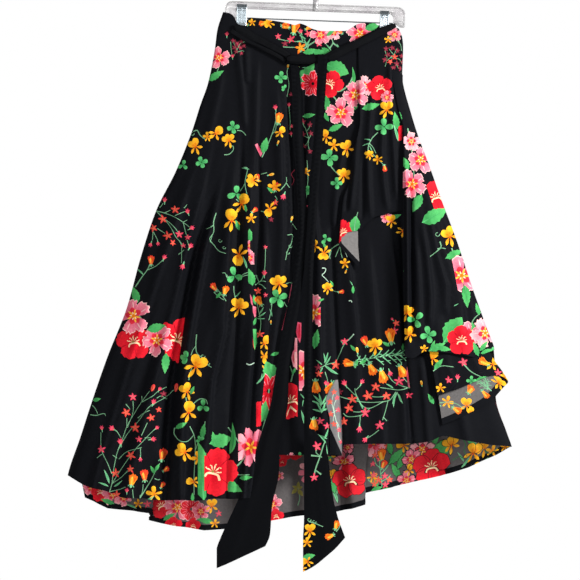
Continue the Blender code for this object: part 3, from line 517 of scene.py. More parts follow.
def fern(out, points, size=3.0, pairs=5, wide=0.5):
    """A feathery sprig: a stem with short fingers both ways."""
    stem(out, points, wide, 0.35, "green_pale")
    p = np.asarray(points, float)
    seg = np.concatenate([[0], np.cumsum(np.hypot(*np.diff(p, axis=0).T))])
    for k in range(pairs):
        s = seg[-1] * (k + 0.6) / (pairs + 0.4)
        c, r = np.interp(s, seg, p[:, 0]), np.interp(s, seg, p[:, 1])
        d = np.array([np.interp(s + 1, seg, p[:, 0]) - c, np.interp(s + 1, seg, p[:, 1]) - r])
        if np.hypot(*d) < 1e-6:
            d = p[-1] - p[-2]
        d = d / np.hypot(*d)
        for side in (-1, 1):
            n = np.array([-d[1], d[0]]) * side
            tip = np.array([c, r]) + d * size * 0.62 + n * size * 0.72
            mid = np.array([c, r]) + d * size * 0.40 + n * size * 0.28
            stem(out, [(c, r), mid, tip], 0.42, 0.24, "stem")
            tip2 = mid + d * size * 0.55 + n * size * 0.05
            stem(out, [mid, tip2], 0.34, 0.2, "stem")


def star_spray(out, root, heads, tone="stem", bend=0.10):
    """Stems that fork off one main stem and end in star flowers: heads are (column, row, size, turn, kind)."""
    root = np.asarray(root, float)
    tips = np.array([h[:2] for h in heads], float)
    far = tips[np.argmax(np.hypot(*(tips - root).T))]
    axis = far - root
    for k, tip in enumerate(tips):
        share = float(np.clip(((tip - root) @ axis) / max(float(axis @ axis), 1e-6) - 0.30, 0.0, 0.6))
        fork = root + axis * share
        d = tip - fork
        side = np.array([-d[1], d[0]]) * bend * (1 if k % 2 else -1)
        stem(out, [fork, fork + d * 0.5 + side, tip], 0.34, 0.26, tone)
    stem(out, [root, root + axis * 0.6], 0.36, 0.30, tone)
    heads_only(out, heads)


def heads_only(out, heads):
    for h in heads:
        kind = h[4] if len(h) > 4 else "star"
        at = Place(h[0], h[1], h[2], h[3] if len(h) > 3 else 0)
        if kind == "side":
            floret(out, at)
        elif kind == "bud":
            out.add(at(petal(90, 0.1, 0.95, 0.52, 0.4, 0.0, 12)), "star_red", at((0, 0)), at.size)
            out.add(at(blade(90, -0.4, 1.0, 0.10)), "blotch")
        else:
            star(out, at, 5, {"star": "star", "red": "star_red", "dim": "star_dim"}[kind])


def spray(out, runs, heads, wide=0.36, tone="stem"):
    for run in runs:
        stem(out, run, wide, 0.26, tone)
    heads_only(out, heads)


MOTIFS = {
    "pink": pink, "pale": lambda o, a: pink(o, a, pale=True), "red": red, "carnation": carnation, "fringed": fringed,
    "pansy": pansy, "pansy1": lambda o, a: pansy(o, a, 1), "pansy2": lambda o, a: pansy(o, a, 2), "bloomlet": bloomlet,
    "ybud": yellow_bud, "bell": bell, "ember": lambda o, a: bell(o, a, "ember"), "star": star,
    "star_red": lambda o, a: star(o, a, 5, "star_red"), "star_dim": lambda o, a: star(o, a, 5, "star_dim"),
    "floret": floret, "clover": clover, "clover3": lambda o, a: clover(o, a, 3),
    "clover2": lambda o, a: clover(o, a, 3, 200), "leaf": leaf,
    "broad": lambda o, a: leaf(o, a, 0.46, 0.07, 0.05),
    "wideleaf": lambda o, a: leaf(o, a, 0.60, 0.08, 0.0, 0.5), "tulip": lambda o, a: floret(o, a, "star_dim"),
    "orange_star": lambda o, a: star(o, a, 5, "orange"), "slim": slim_leaf,
    "curved": lambda o, a: slim_leaf(o, a, 0.20, 0.35, "green_flat"),
    "plainred": lambda o, a: red(o, a, 5, False),
}


def lay(out, rows, flip=False):
    for row in rows:
        kind, c, r, size, turn = row[:5]
        out.rule = row[5] if len(row) > 5 else None
        MOTIFS[kind](out, Place(c, r, size, turn))
        out.rule = None


def line(c0, r0, c1, r1):
    """A cutting line through two grid places; what lies on the left of its run, seen on the cloth, stays."""
    (x0, z0), (x1, z1) = grid((c0, r0)), grid((c1, r1))
    return (x0, z0, x1, z1)


# ================================================================ creases
Crease = namedtuple("Crease", "path height left right fade")   # path of grid places top to bottom; sizes in mm
NARROW = 4.6      # no side of a fold is tighter than this
# a crease stands out by `height`, falls away over `left` and `right` and fades in over `fade` of its length


def along_creases(creases, step=7.0):
    """Extra places along the tight folds, so that the mesh turns where they do."""
    out = []
    for c in creases:
        if min(c.left, c.right) > 7:
            continue
        p = grid(c.path)
        left, right = max(c.left, NARROW), max(c.right, NARROW)
        for z in np.arange(p[0, 1], p[-1, 1], -step):
            x = float(np.interp(z, p[::-1, 1], p[::-1, 0]))
            if left < 10:
                out += [(x - 1.5 * left, float(z)), (x - 0.5 * left, float(z)), (x - left, float(z) - step / 2)]
            if right < 10:
                out += [(x + 1.5 * right, float(z)), (x + 0.5 * right, float(z)), (x + right, float(z) - step / 2)]
            out += [(x, float(z)), (x, float(z) - step / 2)]
    return out


def crease_height(creases, x, z):
    total = np.zeros(np.broadcast(x, z).shape)
    for c in creases:
        p = grid(c.path)
        zs, xs = p[::-1, 1], p[::-1, 0]
        top, low = p[0, 1], p[-1, 1]
        run = np.clip((top - z) / (top - low), -0.2, 1.2)
        fade = smooth(run / max(c.fade, 1e-3)) * smooth((1.0 - run) / 0.10 + 1.0 * (c.path[-1][1] > 430))
        off = x - np.interp(z, zs, xs)
        total = total + c.height * fade * np.where(off < 0, np.exp(-(off / max(c.left, NARROW)) ** 2),
                                                  np.exp(-(off / max(c.right, NARROW)) ** 2))
    return total


def fan(x, drop, left, right, count, height, seed, begins=0.12):
    """Soft uneven flutes that spread from the waist to the hem."""
    u = (x - left) / np.maximum(right - left, 1)
    v = np.clip(drop / BODY_LENGTH, 0, 1.1)
    warp = 0.020 * np.sin(7.3 * u + seed) + 0.012 * np.sin(17.1 * u + 2 * seed + 2.0 * v)
    phase = 2 * math.pi * count * (u + warp) + 0.5 * np.sin(3 * v + seed)
    depth = height * smooth((v - begins) / 0.8) * (0.72 + 0.28 * np.sin(5.1 * u + 1.7 * seed))
    wave = np.sin(phase)
    return depth * (0.62 * wave + 0.38 * np.sign(wave) * np.abs(wave) ** 2.2)


OUTER_CREASES = [
    Crease([(219, 166), (208, 207), (197, 251), (188, 296), (178, 344), (171, 388), (165, 500)], -7.0, 13, 9, 0.35),
    Crease([(228, 150), (216, 207), (205, 251), (197, 296), (189, 344), (184, 388), (181, 500)], 4.5, 10, 5, 0.35),
    Crease([(249, 140), (251, 230), (252, 351), (247, 430), (243, 502)], 3.4, 22, 3.2, 0.25),
    Crease([(265, 200), (267, 296), (262, 380), (254, 450), (250, 500)], 3.0, 15, 3.0, 0.25),
    Crease([(234, 150), (228, 259), (223, 333), (212, 380), (207, 444), (205, 502)], 4.2, 18, 3.2, 0.25),
    Crease([(216, 120), (203, 185), (182, 270), (160, 360), (140, 440), (128, 498)], 3.6, 20, 5.5, 0.30),
    Crease([(207, 130), (186, 190), (158, 275), (128, 365), (105, 440), (92, 488)], 3.4, 22, 6.5, 0.30),
    Crease([(243, 100), (240, 200), (238, 300), (232, 400), (226, 502)], -2.6, 7, 5, 0.25),
    Crease([(258, 120), (260, 230), (258, 330), (249, 420), (240, 480)], -2.4, 6, 4, 0.25),
    Crease([(275, 70), (281, 150), (283, 230), (279, 300), (268, 380)], 2.6, 12, 3.2, 0.25),
    Crease([(286, 70), (293, 150), (295, 220), (291, 280)], -2.0, 5, 4, 0.20),
    Crease([(245, 41), (246, 60), (247, 84)], 1.4, 3.5, 7, 0.30),
    Crease([(232, 24), (238, 50), (243, 90), (245, 130)], 1.6, 9, 4, 0.30),
    Crease([(258, 50), (257, 80), (256, 130), (253, 180)], 1.8, 10, 3.5, 0.30),
    Crease([(224, 60), (218, 95), (208, 140)], 1.4, 12, 6, 0.30),
    Crease([(168, 440), (158, 470), (150, 500)], 2.8, 10, 5, 0.4),
]
UNDER_CREASES = [
    Crease([(309, 150), (315, 220), (320.5, 265), (320.5, 352), (324, 420), (326, 455)], 2.8, 12, 2.6, 0.25),
    Crease([(345, 235), (350, 272), (356, 326), (358, 380), (357, 445)], 2.6, 14, 2.8, 0.20),
    Crease([(330, 200), (334, 300), (338, 375), (341, 440)], -2.2, 5, 5, 0.25),
    Crease([(368, 230), (374, 300), (380, 380), (384, 444)], 2.4, 18, 5, 0.30),
    Crease([(390, 228), (396, 270), (401, 320), (404, 380), (406, 444)], 2.6, 12, 2.4, 0.20),
    Crease([(400, 200), (403, 260), (404, 330), (408, 400), (412, 444)], -2.2, 4, 4, 0.20),
    Crease([(420, 350), (424, 390), (428, 442)], 1.8, 6, 9, 0.25),
    Crease([(455, 392), (462, 415), (468, 446)], 1.8, 9, 9, 0.25),
    Crease([(302, 60), (303, 120), (305, 180)], 1.3, 5, 3, 0.25),
    Crease([(345, 140), (338, 180), (333, 230)], 1.8, 9, 4, 0.25),
    Crease([(285, 18), (290, 30), (296, 44)], 0.7, 4, 3, 0.3),
    Crease([(335, 30), (331, 42), (326, 55)], 0.7, 5, 3, 0.3),
]
DRAPE_CREASES = [
    Crease([(366, 60), (362, 90), (358, 128), (355, 170), (350, 215)], 1.7, 6, 2.4, 0.30),
    Crease([(376, 70), (371, 110), (368, 150), (369, 185), (371, 222)], 2.0, 7, 2.8, 0.30),
    Crease([(388, 70), (384, 110), (382, 150), (384, 180), (388, 214)], 2.2, 8, 3.0, 0.30),
    Crease([(392, 30), (390, 60), (391, 100), (394, 150), (397, 205)], 1.8, 6, 2.8, 0.30),
    Crease([(352, 157), (350, 180), (346, 214)], -1.2, 3, 3, 0.30),
    Crease([(364, 150), (363, 185), (362, 222)], -1.4, 4, 4, 0.30),
]
SIDE_CREASES = [
    Crease([(402, 110), (405.5, 160), (407.3, 200), (407.6, 270), (407.8, 352)], 4.4, 3.0, 2.6, 0.35),
    Crease([(406, 150), (411, 200), (411.8, 270), (412, 345)], -3.2, 2.8, 4.0, 0.35),
    Crease([(426, 200), (437, 254), (446, 285), (446, 318)], 2.6, 12, 2.6, 0.30),
    Crease([(420, 210), (428, 260), (431, 294), (430, 330)], 2.4, 9, 2.8, 0.30),
    Crease([(430, 190), (444, 245), (461, 296), (466, 345)], 3.0, 13, 3.0, 0.30),
    Crease([(416, 230), (419, 280), (421, 345)], 1.8, 7, 4, 0.30),
    Crease([(440, 200), (458, 255), (474, 310), (484, 350)], 2.0, 8, 6, 0.35),
]
TIER_CREASES = [
    Crease([(446, 350), (450, 370), (455, 392)], 1.8, 8, 5, 0.3),
    Crease([(470, 350), (477, 366), (486, 382)], 1.6, 8, 5, 0.3),
    Crease([(434, 352), (438, 375), (441, 398)], -1.4, 4, 5, 0.3),
]
BACK_CREASES = [
    Crease([(232, 60), (212, 150), (180, 270), (150, 390), (130, 520)], 7.0, 26, 9, 0.30),
    Crease([(248, 40), (234, 150), (214, 280), (196, 400), (186, 530)], 6.0, 18, 26, 0.30),
    Crease([(268, 40), (262, 150), (252, 280), (244, 400), (240, 530)], 7.5, 28, 8, 0.28),
    Crease([(290, 40), (290, 150), (288, 280), (290, 400), (292, 520)], 6.0, 16, 24, 0.30),
    Crease([(318, 40), (322, 150), (328, 280), (338, 400), (346, 510)], 7.0, 26, 8, 0.30),
    Crease([(345, 40), (354, 150), (368, 280), (386, 400), (398, 490)], 6.5, 12, 26, 0.30),
    Crease([(368, 40), (380, 150), (402, 280), (430, 400), (446, 470)], 6.5, 24, 8, 0.30),
    Crease([(386, 60), (402, 160), (432, 280), (466, 390), (482, 455)], 4.5, 10, 18, 0.35),
    Crease([(222, 90), (190, 190), (150, 300), (112, 410), (92, 505)], 5.0, 20, 8, 0.35),
]


# ================================================================ surfaces
DEEPER = 2.7


def single(layer, sign, creases, waves, right=RIGHT_SIDE, ripple=0.5, seed=1.0):
    """A panel that faces one way: flat place (x, z) to its point in space."""
    def surface(x, z):
        drop = -z
        held = lens(x, drop, right)
        lift = stand_off(layer, x, drop, right)
        more = DEEPER * crease_height(creases, x, z)
        for w in waves:
            more = more + fan(x, drop, *w)
        more = more + ripple * opening(drop) ** 0.5 * (value_noise(x, z * 0.45, 26, seed) + 0.6 * value_noise(x, z, 13, seed + 5))
        y = lift + more * np.clip(held * 1.15, 0, 1)
        return np.stack([x, sign * np.maximum(y, HALF_GAP), z], axis=-1)
    return surface


def wide_of(x, drop, left, right):
    return along(left, drop), along(right, drop)


outer_base = single(OUTER, -1, OUTER_CREASES, [], seed=1.0)


def outer_surface(x, z):
    p = outer_base(x, z)
    drop = -z
    l, r = along(LEFT_SIDE, drop), along(OUTER_FREE, drop)
    held = np.clip(lens(x, drop) * 1.15, 0, 1)
    p[..., 1] -= held * (fan(x, drop, l, r, 6.5, 5.5, 0.4) + 1.0 * opening(drop))
    return p


under_base = single(UNDER, -1, UNDER_CREASES, [], ripple=0.35, seed=2.0)


def under_surface(x, z):
    p = under_base(x, z)
    drop = -z
    held = np.clip(lens(x, drop) * 1.15, 0, 1)
    l, r = along(UNDER_LEFT, drop), along(UNDER_RIGHT, drop)
    p[..., 1] -= held * fan(x, drop, l, r, 8.0, 1.9, 1.3, 0.25)
    # the gathered top edge between the clips
    ruck = np.exp(-(drop - 8) ** 2 / 500) * np.exp(-((x + 20) / 70) ** 4)
    p[..., 1] -= 0.9 * ruck * (1 + np.sin(x / 5.2 + 1.1 * np.sin(x / 13))) / 2
    return p


drape_base = single(DRAPE, -1, DRAPE_CREASES, [], ripple=0.3, seed=3.0)


def drape_surface(x, z):
    """The near layer right of its left edge; left of it the cloth turns round and back behind itself."""
    drop = -z
    edge = along(DRAPE_LEFT, drop)
    d = x - edge
    r0 = 1.3 + 1.0 * smooth((drop - 60) / 400)
    real_x = edge + np.sqrt(d * d + r0 * r0) - r0
    turned = smooth(0.5 - d / (2 * r0 + 3.5))
    p = drape_base(real_x, z)
    gap = 2.0 + 2.6 * opening(drop)
    p[..., 1] += turned * gap
    return p


side_base = single(SIDE, -1, SIDE_CREASES, [], ripple=0.4, seed=4.0)


def side_surface(x, z):
    p = side_base(x, z)
    drop = -z
    l, r = along(SIDE_LEFT, drop), along(RIGHT_SIDE, drop)
    held = np.clip(lens(x, drop) * 1.1, 0, 1)
    p[..., 1] -= held * fan(x, drop, l, r, 3.5, 3.2, 2.1, 0.10)
    return p


TIER_EDGE = [(655, 342), (668, 345), (690, 356), (712, 372), (731, 383), (760, 389)]


def tier_surface(x, z):
    """Near layer to its outer edge, then round and back behind."""
    drop = -z
    edge = along(TIER_EDGE, drop)
    d = x - edge
    r0 = 3.2
    real_x = edge - np.sqrt(d * d + r0 * r0) + r0
    turned = smooth(0.5 + d / 14.0)
    near = stand_off(TIER, real_x, drop, TIER_SIDE) + 1.2
    far = stand_off(TIER_IN, real_x, drop, TIER_SIDE)
    held = np.clip(lens(real_x, drop, TIER_SIDE) * 1.2, 0, 1)
    near = near + held * crease_height(TIER_CREASES, real_x, z) + 0.6 * held * np.sin(real_x / 17)
    near, far = np.maximum(near, 2.2), np.maximum(far, 1.4)
    return np.stack([real_x, -(near * (1 - turned) + far * turned), z], axis=-1)


def turned_surface(x, z):
    drop = -z
    p = under_surface(x, z)
    p[..., 1] -= 1.4 + 1.8 * np.sin(np.clip((x - 16) / 36, 0, 1) * math.pi)
    return p


back_base = single(BACK, 1, BACK_CREASES, [], ripple=0.6, seed=6.0)
FOLD_A, FOLD_B = 0.1917, 0.6730      # where the back's hem doubles, as shares of its width


def back_folds(z):
    drop = -z
    grow = smooth((drop - 470) / 500)
    l, r = along(LEFT_SIDE, np.minimum(drop, 915)), along(RIGHT_SIDE, np.minimum(drop, 862))
    return l + (r - l) * FOLD_A, 13.0 * grow, l + (r - l) * FOLD_B, 22.0 * grow


def soft_step(d, r):
    return (d + np.sqrt(d * d + r * r)) / 2 - r / 2


def back_surface(x, z):
    """Flat place to space: the hem doubles over itself in two S folds that grow from mid height."""
    drop = -z
    fa, wa, fb, wb = back_folds(z)
    r = 2.4
    da, db = x - fa, x - fb - 2 * wa
    real = x - 2 * (soft_step(da, r) - soft_step(da - wa, r)) - 2 * (soft_step(db, r) - soft_step(db - wb, r))
    p = back_base(real, z)
    held = np.clip(lens(real, drop) * 1.15, 0, 1)
    l, rr = along(LEFT_SIDE, drop), along(RIGHT_SIDE, drop)
    p[..., 1] += held * (fan(real, drop, l, rr, 9.0, 4.0, 3.3, 0.15) + 1.2 * opening(drop))
    ga, gb = smooth(wa / 8), smooth(wb / 10)
    deep = 9.0 * ga * smooth((da + 2) / np.maximum(wa + 6, 4)) + 9.0 * gb * smooth((db + 2) / np.maximum(wb + 6, 4))
    ease = 1 - smooth((real - fb - 60) / 230)
    p[..., 1] += deep * (0.35 + 0.65 * ease) * held
    p[..., 1] = np.maximum(p[..., 1], HALF_GAP)
    return p


# ================================================================ outlines on the flat cloth
def side_run(table, drops):
    return [(along(table, d), -d) for d in drops]


def down(d0, d1, step=8.0):
    return np.linspace(d0, d1, max(2, int(abs(d1 - d0) / step) + 1))


def across(table_left, table_right, line_table, d_left, d_right, count):
    """A top or hem line as flat places, left to right."""
    x0, x1 = float(along(table_left, d_left)), float(along(table_right, d_right))
    u = np.unique(np.concatenate([np.linspace(0, 1, count), [r[0] for r in line_table]]))
    return [(x0 + (x1 - x0) * k, -float(along(line_table, k))) for k in u]


def ring_of(left_run, hem_run, right_run, top_run):
    """Anticlockwise: down the left, along the hem, up the right, back along the top."""
    out = []
    for part in (left_run, hem_run, right_run[::-1], top_run[::-1]):
        for p in part:
            if not out or math.hypot(p[0] - out[-1][0], p[1] - out[-1][1]) > 0.4:
                out.append((float(p[0]), float(p[1])))
    while math.hypot(out[0][0] - out[-1][0], out[0][1] - out[-1][1]) < 0.4:
        out.pop()
    return np.array(out)


def wave_hem(run, height, length, seed):
    """A hem line with the small ups and downs of hanging cloth, its ends kept."""
    p = np.array(run, float)
    t = np.linspace(0, 1, len(p))
    s = np.concatenate([[0], np.cumsum(np.hypot(*np.diff(p, axis=0).T))])
    p[:, 1] += height * np.sin(s / length * 2 * math.pi + seed) * np.sin(math.pi * t) ** 0.5
    return [tuple(q) for q in p]


outer_hem = wave_hem(across(LEFT_SIDE, OUTER_FREE, OUTER_HEM, 920, 962, 70), 1.3, 74, 0.8)
outer_outline = ring_of(side_run(LEFT_SIDE, down(-10, 920)), outer_hem, side_run(OUTER_FREE, down(88, 962)),
                        across(LEFT_SIDE, OUTER_FREE, OUTER_TOP, -10, 88, 30))
under_hem = across(UNDER_LEFT, UNDER_RIGHT, UNDER_HEM, 878, 862, 80)
under_outline = ring_of(side_run(UNDER_LEFT, down(7, 878)), under_hem, side_run(UNDER_RIGHT, down(23, 862)),
                        across(UNDER_LEFT, UNDER_RIGHT, UNDER_TOP, 7, 23, 60))
drape_hem = across(DRAPE_LEFT, DRAPE_RIGHT, DRAPE_HEM, 458, 390, 34)
far_hem = [(44 - 44 * t, -(458 + 46 * t)) for t in np.linspace(1, 0, 10)]
drape_outline = ring_of([(82 - 10, -64.0)] + [(float(along(DRAPE_LEFT, d)) - (10 + 34 * (d - 64) / 440), -float(d))
                                              for d in down(80, 500)],
                        far_hem[:-1] + drape_hem, side_run(DRAPE_RIGHT, down(34, 390)),
                        across(DRAPE_LEFT, DRAPE_RIGHT, DRAPE_TOP, 60, 34, 14))
side_hem = across(SIDE_LEFT, RIGHT_SIDE, SIDE_HEM, 682, 668, 40)
side_outline = ring_of(side_run(SIDE_LEFT, down(104, 682)), side_hem, side_run(RIGHT_SIDE, down(116, 668)),
                       [(148.0, -104.0), (160.0, -109.0), (172.0, -116.0)])
tier_near_hem = [(x, -d) for x, d in TIER_NEAR[1:]]
tier_far_hem = [(2 * float(along(TIER_EDGE, d)) - x, -d) for x, d in TIER_FAR[1:]]
tier_outline = resample(np.array([(220.0, -660.0)] + tier_near_hem + tier_far_hem
                                 + [(2 * float(along(TIER_EDGE, d)) - (226 + 22 * (d - 664) / 154), -float(d))
                                    for d in (800, 782, 764, 746, 728, 710, 692, 676, 664)] + [(343.0, -660.0)]), 7)
turned_outline = ring_of(side_run(TURNED_LEFT, down(728, 878)), [(26 + 24 * t, -878.0) for t in np.linspace(0, 1, 5)],
                         side_run(TURNED_RIGHT, down(728, 878)), [(38.0, -728.0), (42.0, -728.0)])


def back_flat(x, z):
    """From a place seen on the hanging back to its place on the flat cloth, S folds opened out."""
    x, z = np.asarray(x, float), np.asarray(z, float)
    fa, wa, fb, wb = back_folds(z)
    return np.where(x <= fa, x, np.where(x <= fb, x + 2 * wa, x + 2 * wa + 2 * wb))


_hem = []
for k, (x, d) in enumerate(BACK_HEM):
    fa, wa, fb, wb = (float(v) for v in back_folds(np.array(-float(d))))
    _hem.append((x + (0 if k < 6 else 2 * wa) + (0 if k < 15 else 2 * wb), -float(d)))
back_hem = []
for a, b in zip(_hem, _hem[1:]):
    parts = max(1, int(math.hypot(b[0] - a[0], b[1] - a[1]) / 8))
    back_hem += [(a[0] + (b[0] - a[0]) * j / parts, a[1] + (b[1] - a[1]) * j / parts) for j in range(parts)]
back_hem.append(_hem[-1])
back_outline = ring_of(side_run(LEFT_SIDE, down(28, 915)), back_hem,
                       [(float(back_flat(along(RIGHT_SIDE, d) - 1.0, -d)), -float(d)) for d in down(26, 863)],
                       [(-200 + 364 * u, -float(along(BACK_TOP, u))) for u in np.linspace(0, 1, 40)])


def hem_band(run, height, lift=None):
    """The strip along a hem that is turned to the inside."""
    low = np.array(run, float)
    way = np.gradient(low, axis=0)
    way /= np.maximum(np.hypot(way[:, 0], way[:, 1]), 1e-9)[:, None]
    up = low + np.stack([-way[:, 1], way[:, 0]], -1) * height
    return np.concatenate([low - np.stack([-way[:, 1], way[:, 0]], -1) * 3, up[::-1]])


# ================================================================ the print, panel by panel
def between(c0, c1):
    """Keeps what lies between two columns, as where a fold hides the rest."""
    return [line(c0, 0, c0, 10), line(c1, 10, c1, 0)]


def print_outer():
    o = Print()
    # waist and hip
    spray(o, [[(232, 55), (231, 48), (230.5, 41)], [(234, 55), (237, 49), (240, 43), (245, 41)], [(236, 52), (242, 50), (244, 51)],
              [(237, 49), (234, 43), (233, 39)]],
          [(226.7, 34, 3.4, 0, "side"), (233, 40, 3.0, 0, "dim"), (237, 43, 3.2, 30, "dim"), (241, 41, 2.8, 0, "dim"),
           (234.5, 47, 3.2, -20, "dim"), (240, 47, 3.0, 10, "dim"), (236, 51, 3.0, 0, "dim"), (244, 45, 2.6, 0, "dim"),
           (232.5, 56, 3.0, 0, "side"), (241.5, 52.5, 2.6, 0, "dim")], 0.26)
    stem(o, [(213, 79), (217, 71), (220, 62)], 0.6)
    lay(o, [("leaf", 215.5, 75, 9.5, -58), ("pink", 219, 57, 10.5, 10)])
    lay(o, [("clover", 281, 77, 6.4, 0), ("clover2", 285, 88, 4, 60)])
    stem(o, [(287, 96), (289, 84), (287, 72), (289, 64)], 0.4)
    lay(o, [("ybud", 288, 67, 3.4, 0), ("floret", 289, 105, 3.4, 0), ("star_dim", 291, 94, 2.6, 0)])
    stem(o, [(290, 130), (290, 118), (289, 108)], 0.4)
    lay(o, [("floret", 291, 134, 3.2, 10), ("star", 292, 126, 2.6, 0)])
    # chain of yellow blooms across the hip
    tendril(o, [(193, 131), (197, 130), (200, 135), (205, 139)], [(193, 133, 2.2)])
    tendril(o, [(224, 154.5), (229, 154), (233, 150), (233, 146), (230, 146)], [], 0.42)
    stem(o, [(237, 130), (242, 131), (246, 135)], 0.42)
    lay(o, [("clover", 233, 127, 6.8, 10), ("clover", 201.5, 162, 6.6, 20), ("clover3", 183, 165, 5.6, -10),
            ("bloomlet", 207.5, 136.5, 5, 0), ("pansy", 195, 146, 9, 30), ("pansy1", 216, 133, 8.5, -40),
            ("pansy2", 229, 140, 8, 20)])
    # bell sprig right of it
    stem(o, [(262, 157), (267, 146), (272, 134), (276, 120)], 0.55)
    stem(o, [(272, 134), (276, 128), (275.5, 112)], 0.4)
    lay(o, [("broad", 265, 145, 8, -18), ("bell", 278.5, 120, 8, -12), ("pansy1", 280.5, 132, 6.5, -30),
            ("floret", 275.5, 108, 4, 10), ("ybud", 277.5, 144, 4, -20)])
    o.add(grid([(254.8, 144.6), (257.4, 143.2), (262.4, 153.2), (260.6, 156.6)]), "pink")
    # left spray of stars
    spray(o, [[(155, 210.5), (164, 212.8), (174, 216.7), (183, 222.2), (189.5, 227)], [(182.8, 222.2), (187.2, 220)],
              [(164.4, 212.8), (170.5, 210)], [(175, 215.6), (184, 211.7), (187, 212.2)],
              [(183.3, 222.8), (186, 233.3), (187.8, 236.7)], [(187.2, 240), (189, 246.5)],
              [(156, 211), (161.7, 216.7), (166, 221), (171.7, 228.9), (175.6, 236.7), (180.5, 242.2), (183, 245.5)],
              [(166, 220), (171.7, 224.4), (177.2, 231), (179.4, 234.4)], [(157, 228.3), (165, 233.3)],
              [(152.8, 231), (152.2, 240)], [(153.3, 232), (157.2, 239.4)], [(159.5, 207.5), (163, 203)],
              [(179.4, 240.5), (181.7, 246), (181.7, 252.2), (181.7, 263)], [(178.5, 254.4), (181.7, 252.2), (184, 250)],
              [(184, 208), (187, 204.5)]],
          [(164.4, 200.5, 4.2, 0, "side"), (175, 209.4, 4.9, 0, "red"), (187.8, 212.2, 4.2, 20, "side"),
           (162.8, 218.9, 4.9, 10, "red"), (153.3, 227.8, 4.4, 20, "red"), (191, 228.3, 3.9, -60, "side"),
           (179.4, 234.4, 4.6, 0), (167.8, 235.6, 4.9, 10, "red"), (187.8, 237.2, 3.4, 0), (172.8, 242.8, 3.6, 30, "red"),
           (183.3, 245.6, 3.2, 0), (190, 246.7, 4.2, -30, "side"), (150.5, 243.9, 3.6, 160, "side"),
           (157.8, 242.8, 3.5, 190, "side"), (182.8, 265.6, 4.6, 160, "side")])
    stem(o, [(135, 287), (141, 278), (147, 270), (151, 262)], 0.6)
    stem(o, [(147, 270), (156, 266), (164, 259)], 0.4)
    lay(o, [("ember", 151, 262, 7, 0), ("floret", 164, 258, 4, -20), ("slim", 140, 271, 5, 40)])
    # the long chain down the middle
    for run in ([(243.8, 167), (247.5, 169), (245, 182.5), (247, 195)], [(240, 191), (243, 187), (244.6, 184)],
                [(261, 174), (267, 172.5)], [(280.6, 190), (286.3, 182.5), (286.3, 177)], [(286.3, 183), (289.5, 187.5)],
                [(261, 211), (265, 212.5), (267.5, 218)], [(240, 277.5), (244, 274), (248, 272.5)],
                [(238, 281), (243, 276.5), (248, 275)], [(233.8, 286), (234, 292), (235.5, 299)],
                [(255, 285), (262.5, 278.8), (265, 266), (265.6, 248)], [(256, 275), (257.5, 279), (259, 282)],
                [(258.8, 282), (262, 281), (266, 281.5)], [(258.8, 284), (262, 285), (266, 289)], [(286, 284), (290, 282.5), (293, 284)],
                [(292.5, 223.8), (294, 226), (297, 229.4)], [(271.9, 303.8), (271, 312), (268.8, 320)],
                [(273, 300), (271, 305)], [(284, 302), (287, 307)], [(257, 303), (259, 312), (261, 322), (260, 334)],
                [(275, 196), (277, 199), (275.5, 203)], [(236, 199), (239, 202)]):
        stem(o, run, 0.40)
    lay(o, [("slim", 245.5, 168, 4, 70), ("clover3", 236, 193.5, 8.6, -8), ("pansy1", 242, 203.5, 10.5, -20),
            ("leaf", 245.6, 208, 4, 10), ("pansy1", 231.5, 220, 11.5, 8), ("leaf", 237.3, 225, 5.6, 20),
            ("pansy2", 253, 180, 8.2, 95), ("ember", 258, 178, 4.4, 10), ("ybud", 269, 175, 5.4, -75),
            ("ember", 253.5, 211, 4.8, -50), ("bloomlet", 251.3, 218.5, 5.4, 0), ("broad", 250.2, 235, 6.4, 2, between(248.2, 252)),
            ("pansy1", 239, 255, 11, 176), ("slim", 245.8, 262, 6.6, 10), ("broad", 251.0, 277, 8.8, 10, between(248.2, 256)),
            ("clover3", 234.4, 276, 9, 12), ("slim", 238, 295, 4.4, -55), ("pansy2", 239.4, 307, 11, -15),
            ("ember", 275.2, 188, 6.6, -10), ("bloomlet", 274.5, 187, 7, 10), ("leaf", 270.4, 190, 4.4, 50),
            ("floret", 283.6, 195.6, 4.8, 160), ("star_red", 275.6, 202.5, 3.4, 0), ("pansy1", 269.6, 209, 8, 165),
            ("star_dim", 271.3, 219.4, 3.2, 0), ("ybud", 291.3, 220.5, 4.6, -15), ("star", 265.4, 247, 2.6, 0),
            ("floret", 264.4, 274, 4.4, 0), ("star_red", 258, 291, 4.8, 0), ("star", 265.6, 295, 2.6, 0),
            ("pansy2", 279.2, 283.5, 10.4, 12), ("clover", 278, 298, 9.4, 20), ("leaf", 254.4, 299.6, 5, 10),
            ("bell", 260, 302.5, 7.4, 30), ("slim", 262, 311, 4.6, -40), ("slim", 262.5, 315, 4.6, -65), ("slim", 261, 319, 4, -100),
            ("leaf", 255, 321, 4.4, -20), ("star_red", 260, 334, 4.4, 0),
            ("slim", 271.5, 312.5, 4, 10), ("ybud", 271, 323.5, 3.4, 0)])
    o.add(grid([(252.8, 329), (256.6, 329), (257.2, 343), (254.6, 350), (253.6, 346)]), "green_flat")
    o.add(grid([(252.6, 337), (253.6, 346), (254.6, 350), (253, 346)]), "red")
    lay(o, [("pansy1", 264.6, 343, 8.4, -30, between(260.6, 268.6)), ("bloomlet", 264, 356, 7.6, 180, between(261, 267.4)),
            ("ybud", 263.6, 368, 3, 20)])
    lay(o, [("pink", 249, 258, 8, 0, between(248.6, 254))])
    lay(o, [("pink", 250, 246, 6, 0, between(248, 250))])
    o.add(grid([(250, 294), (252, 298), (252.6, 306), (251, 303)]), "pink")
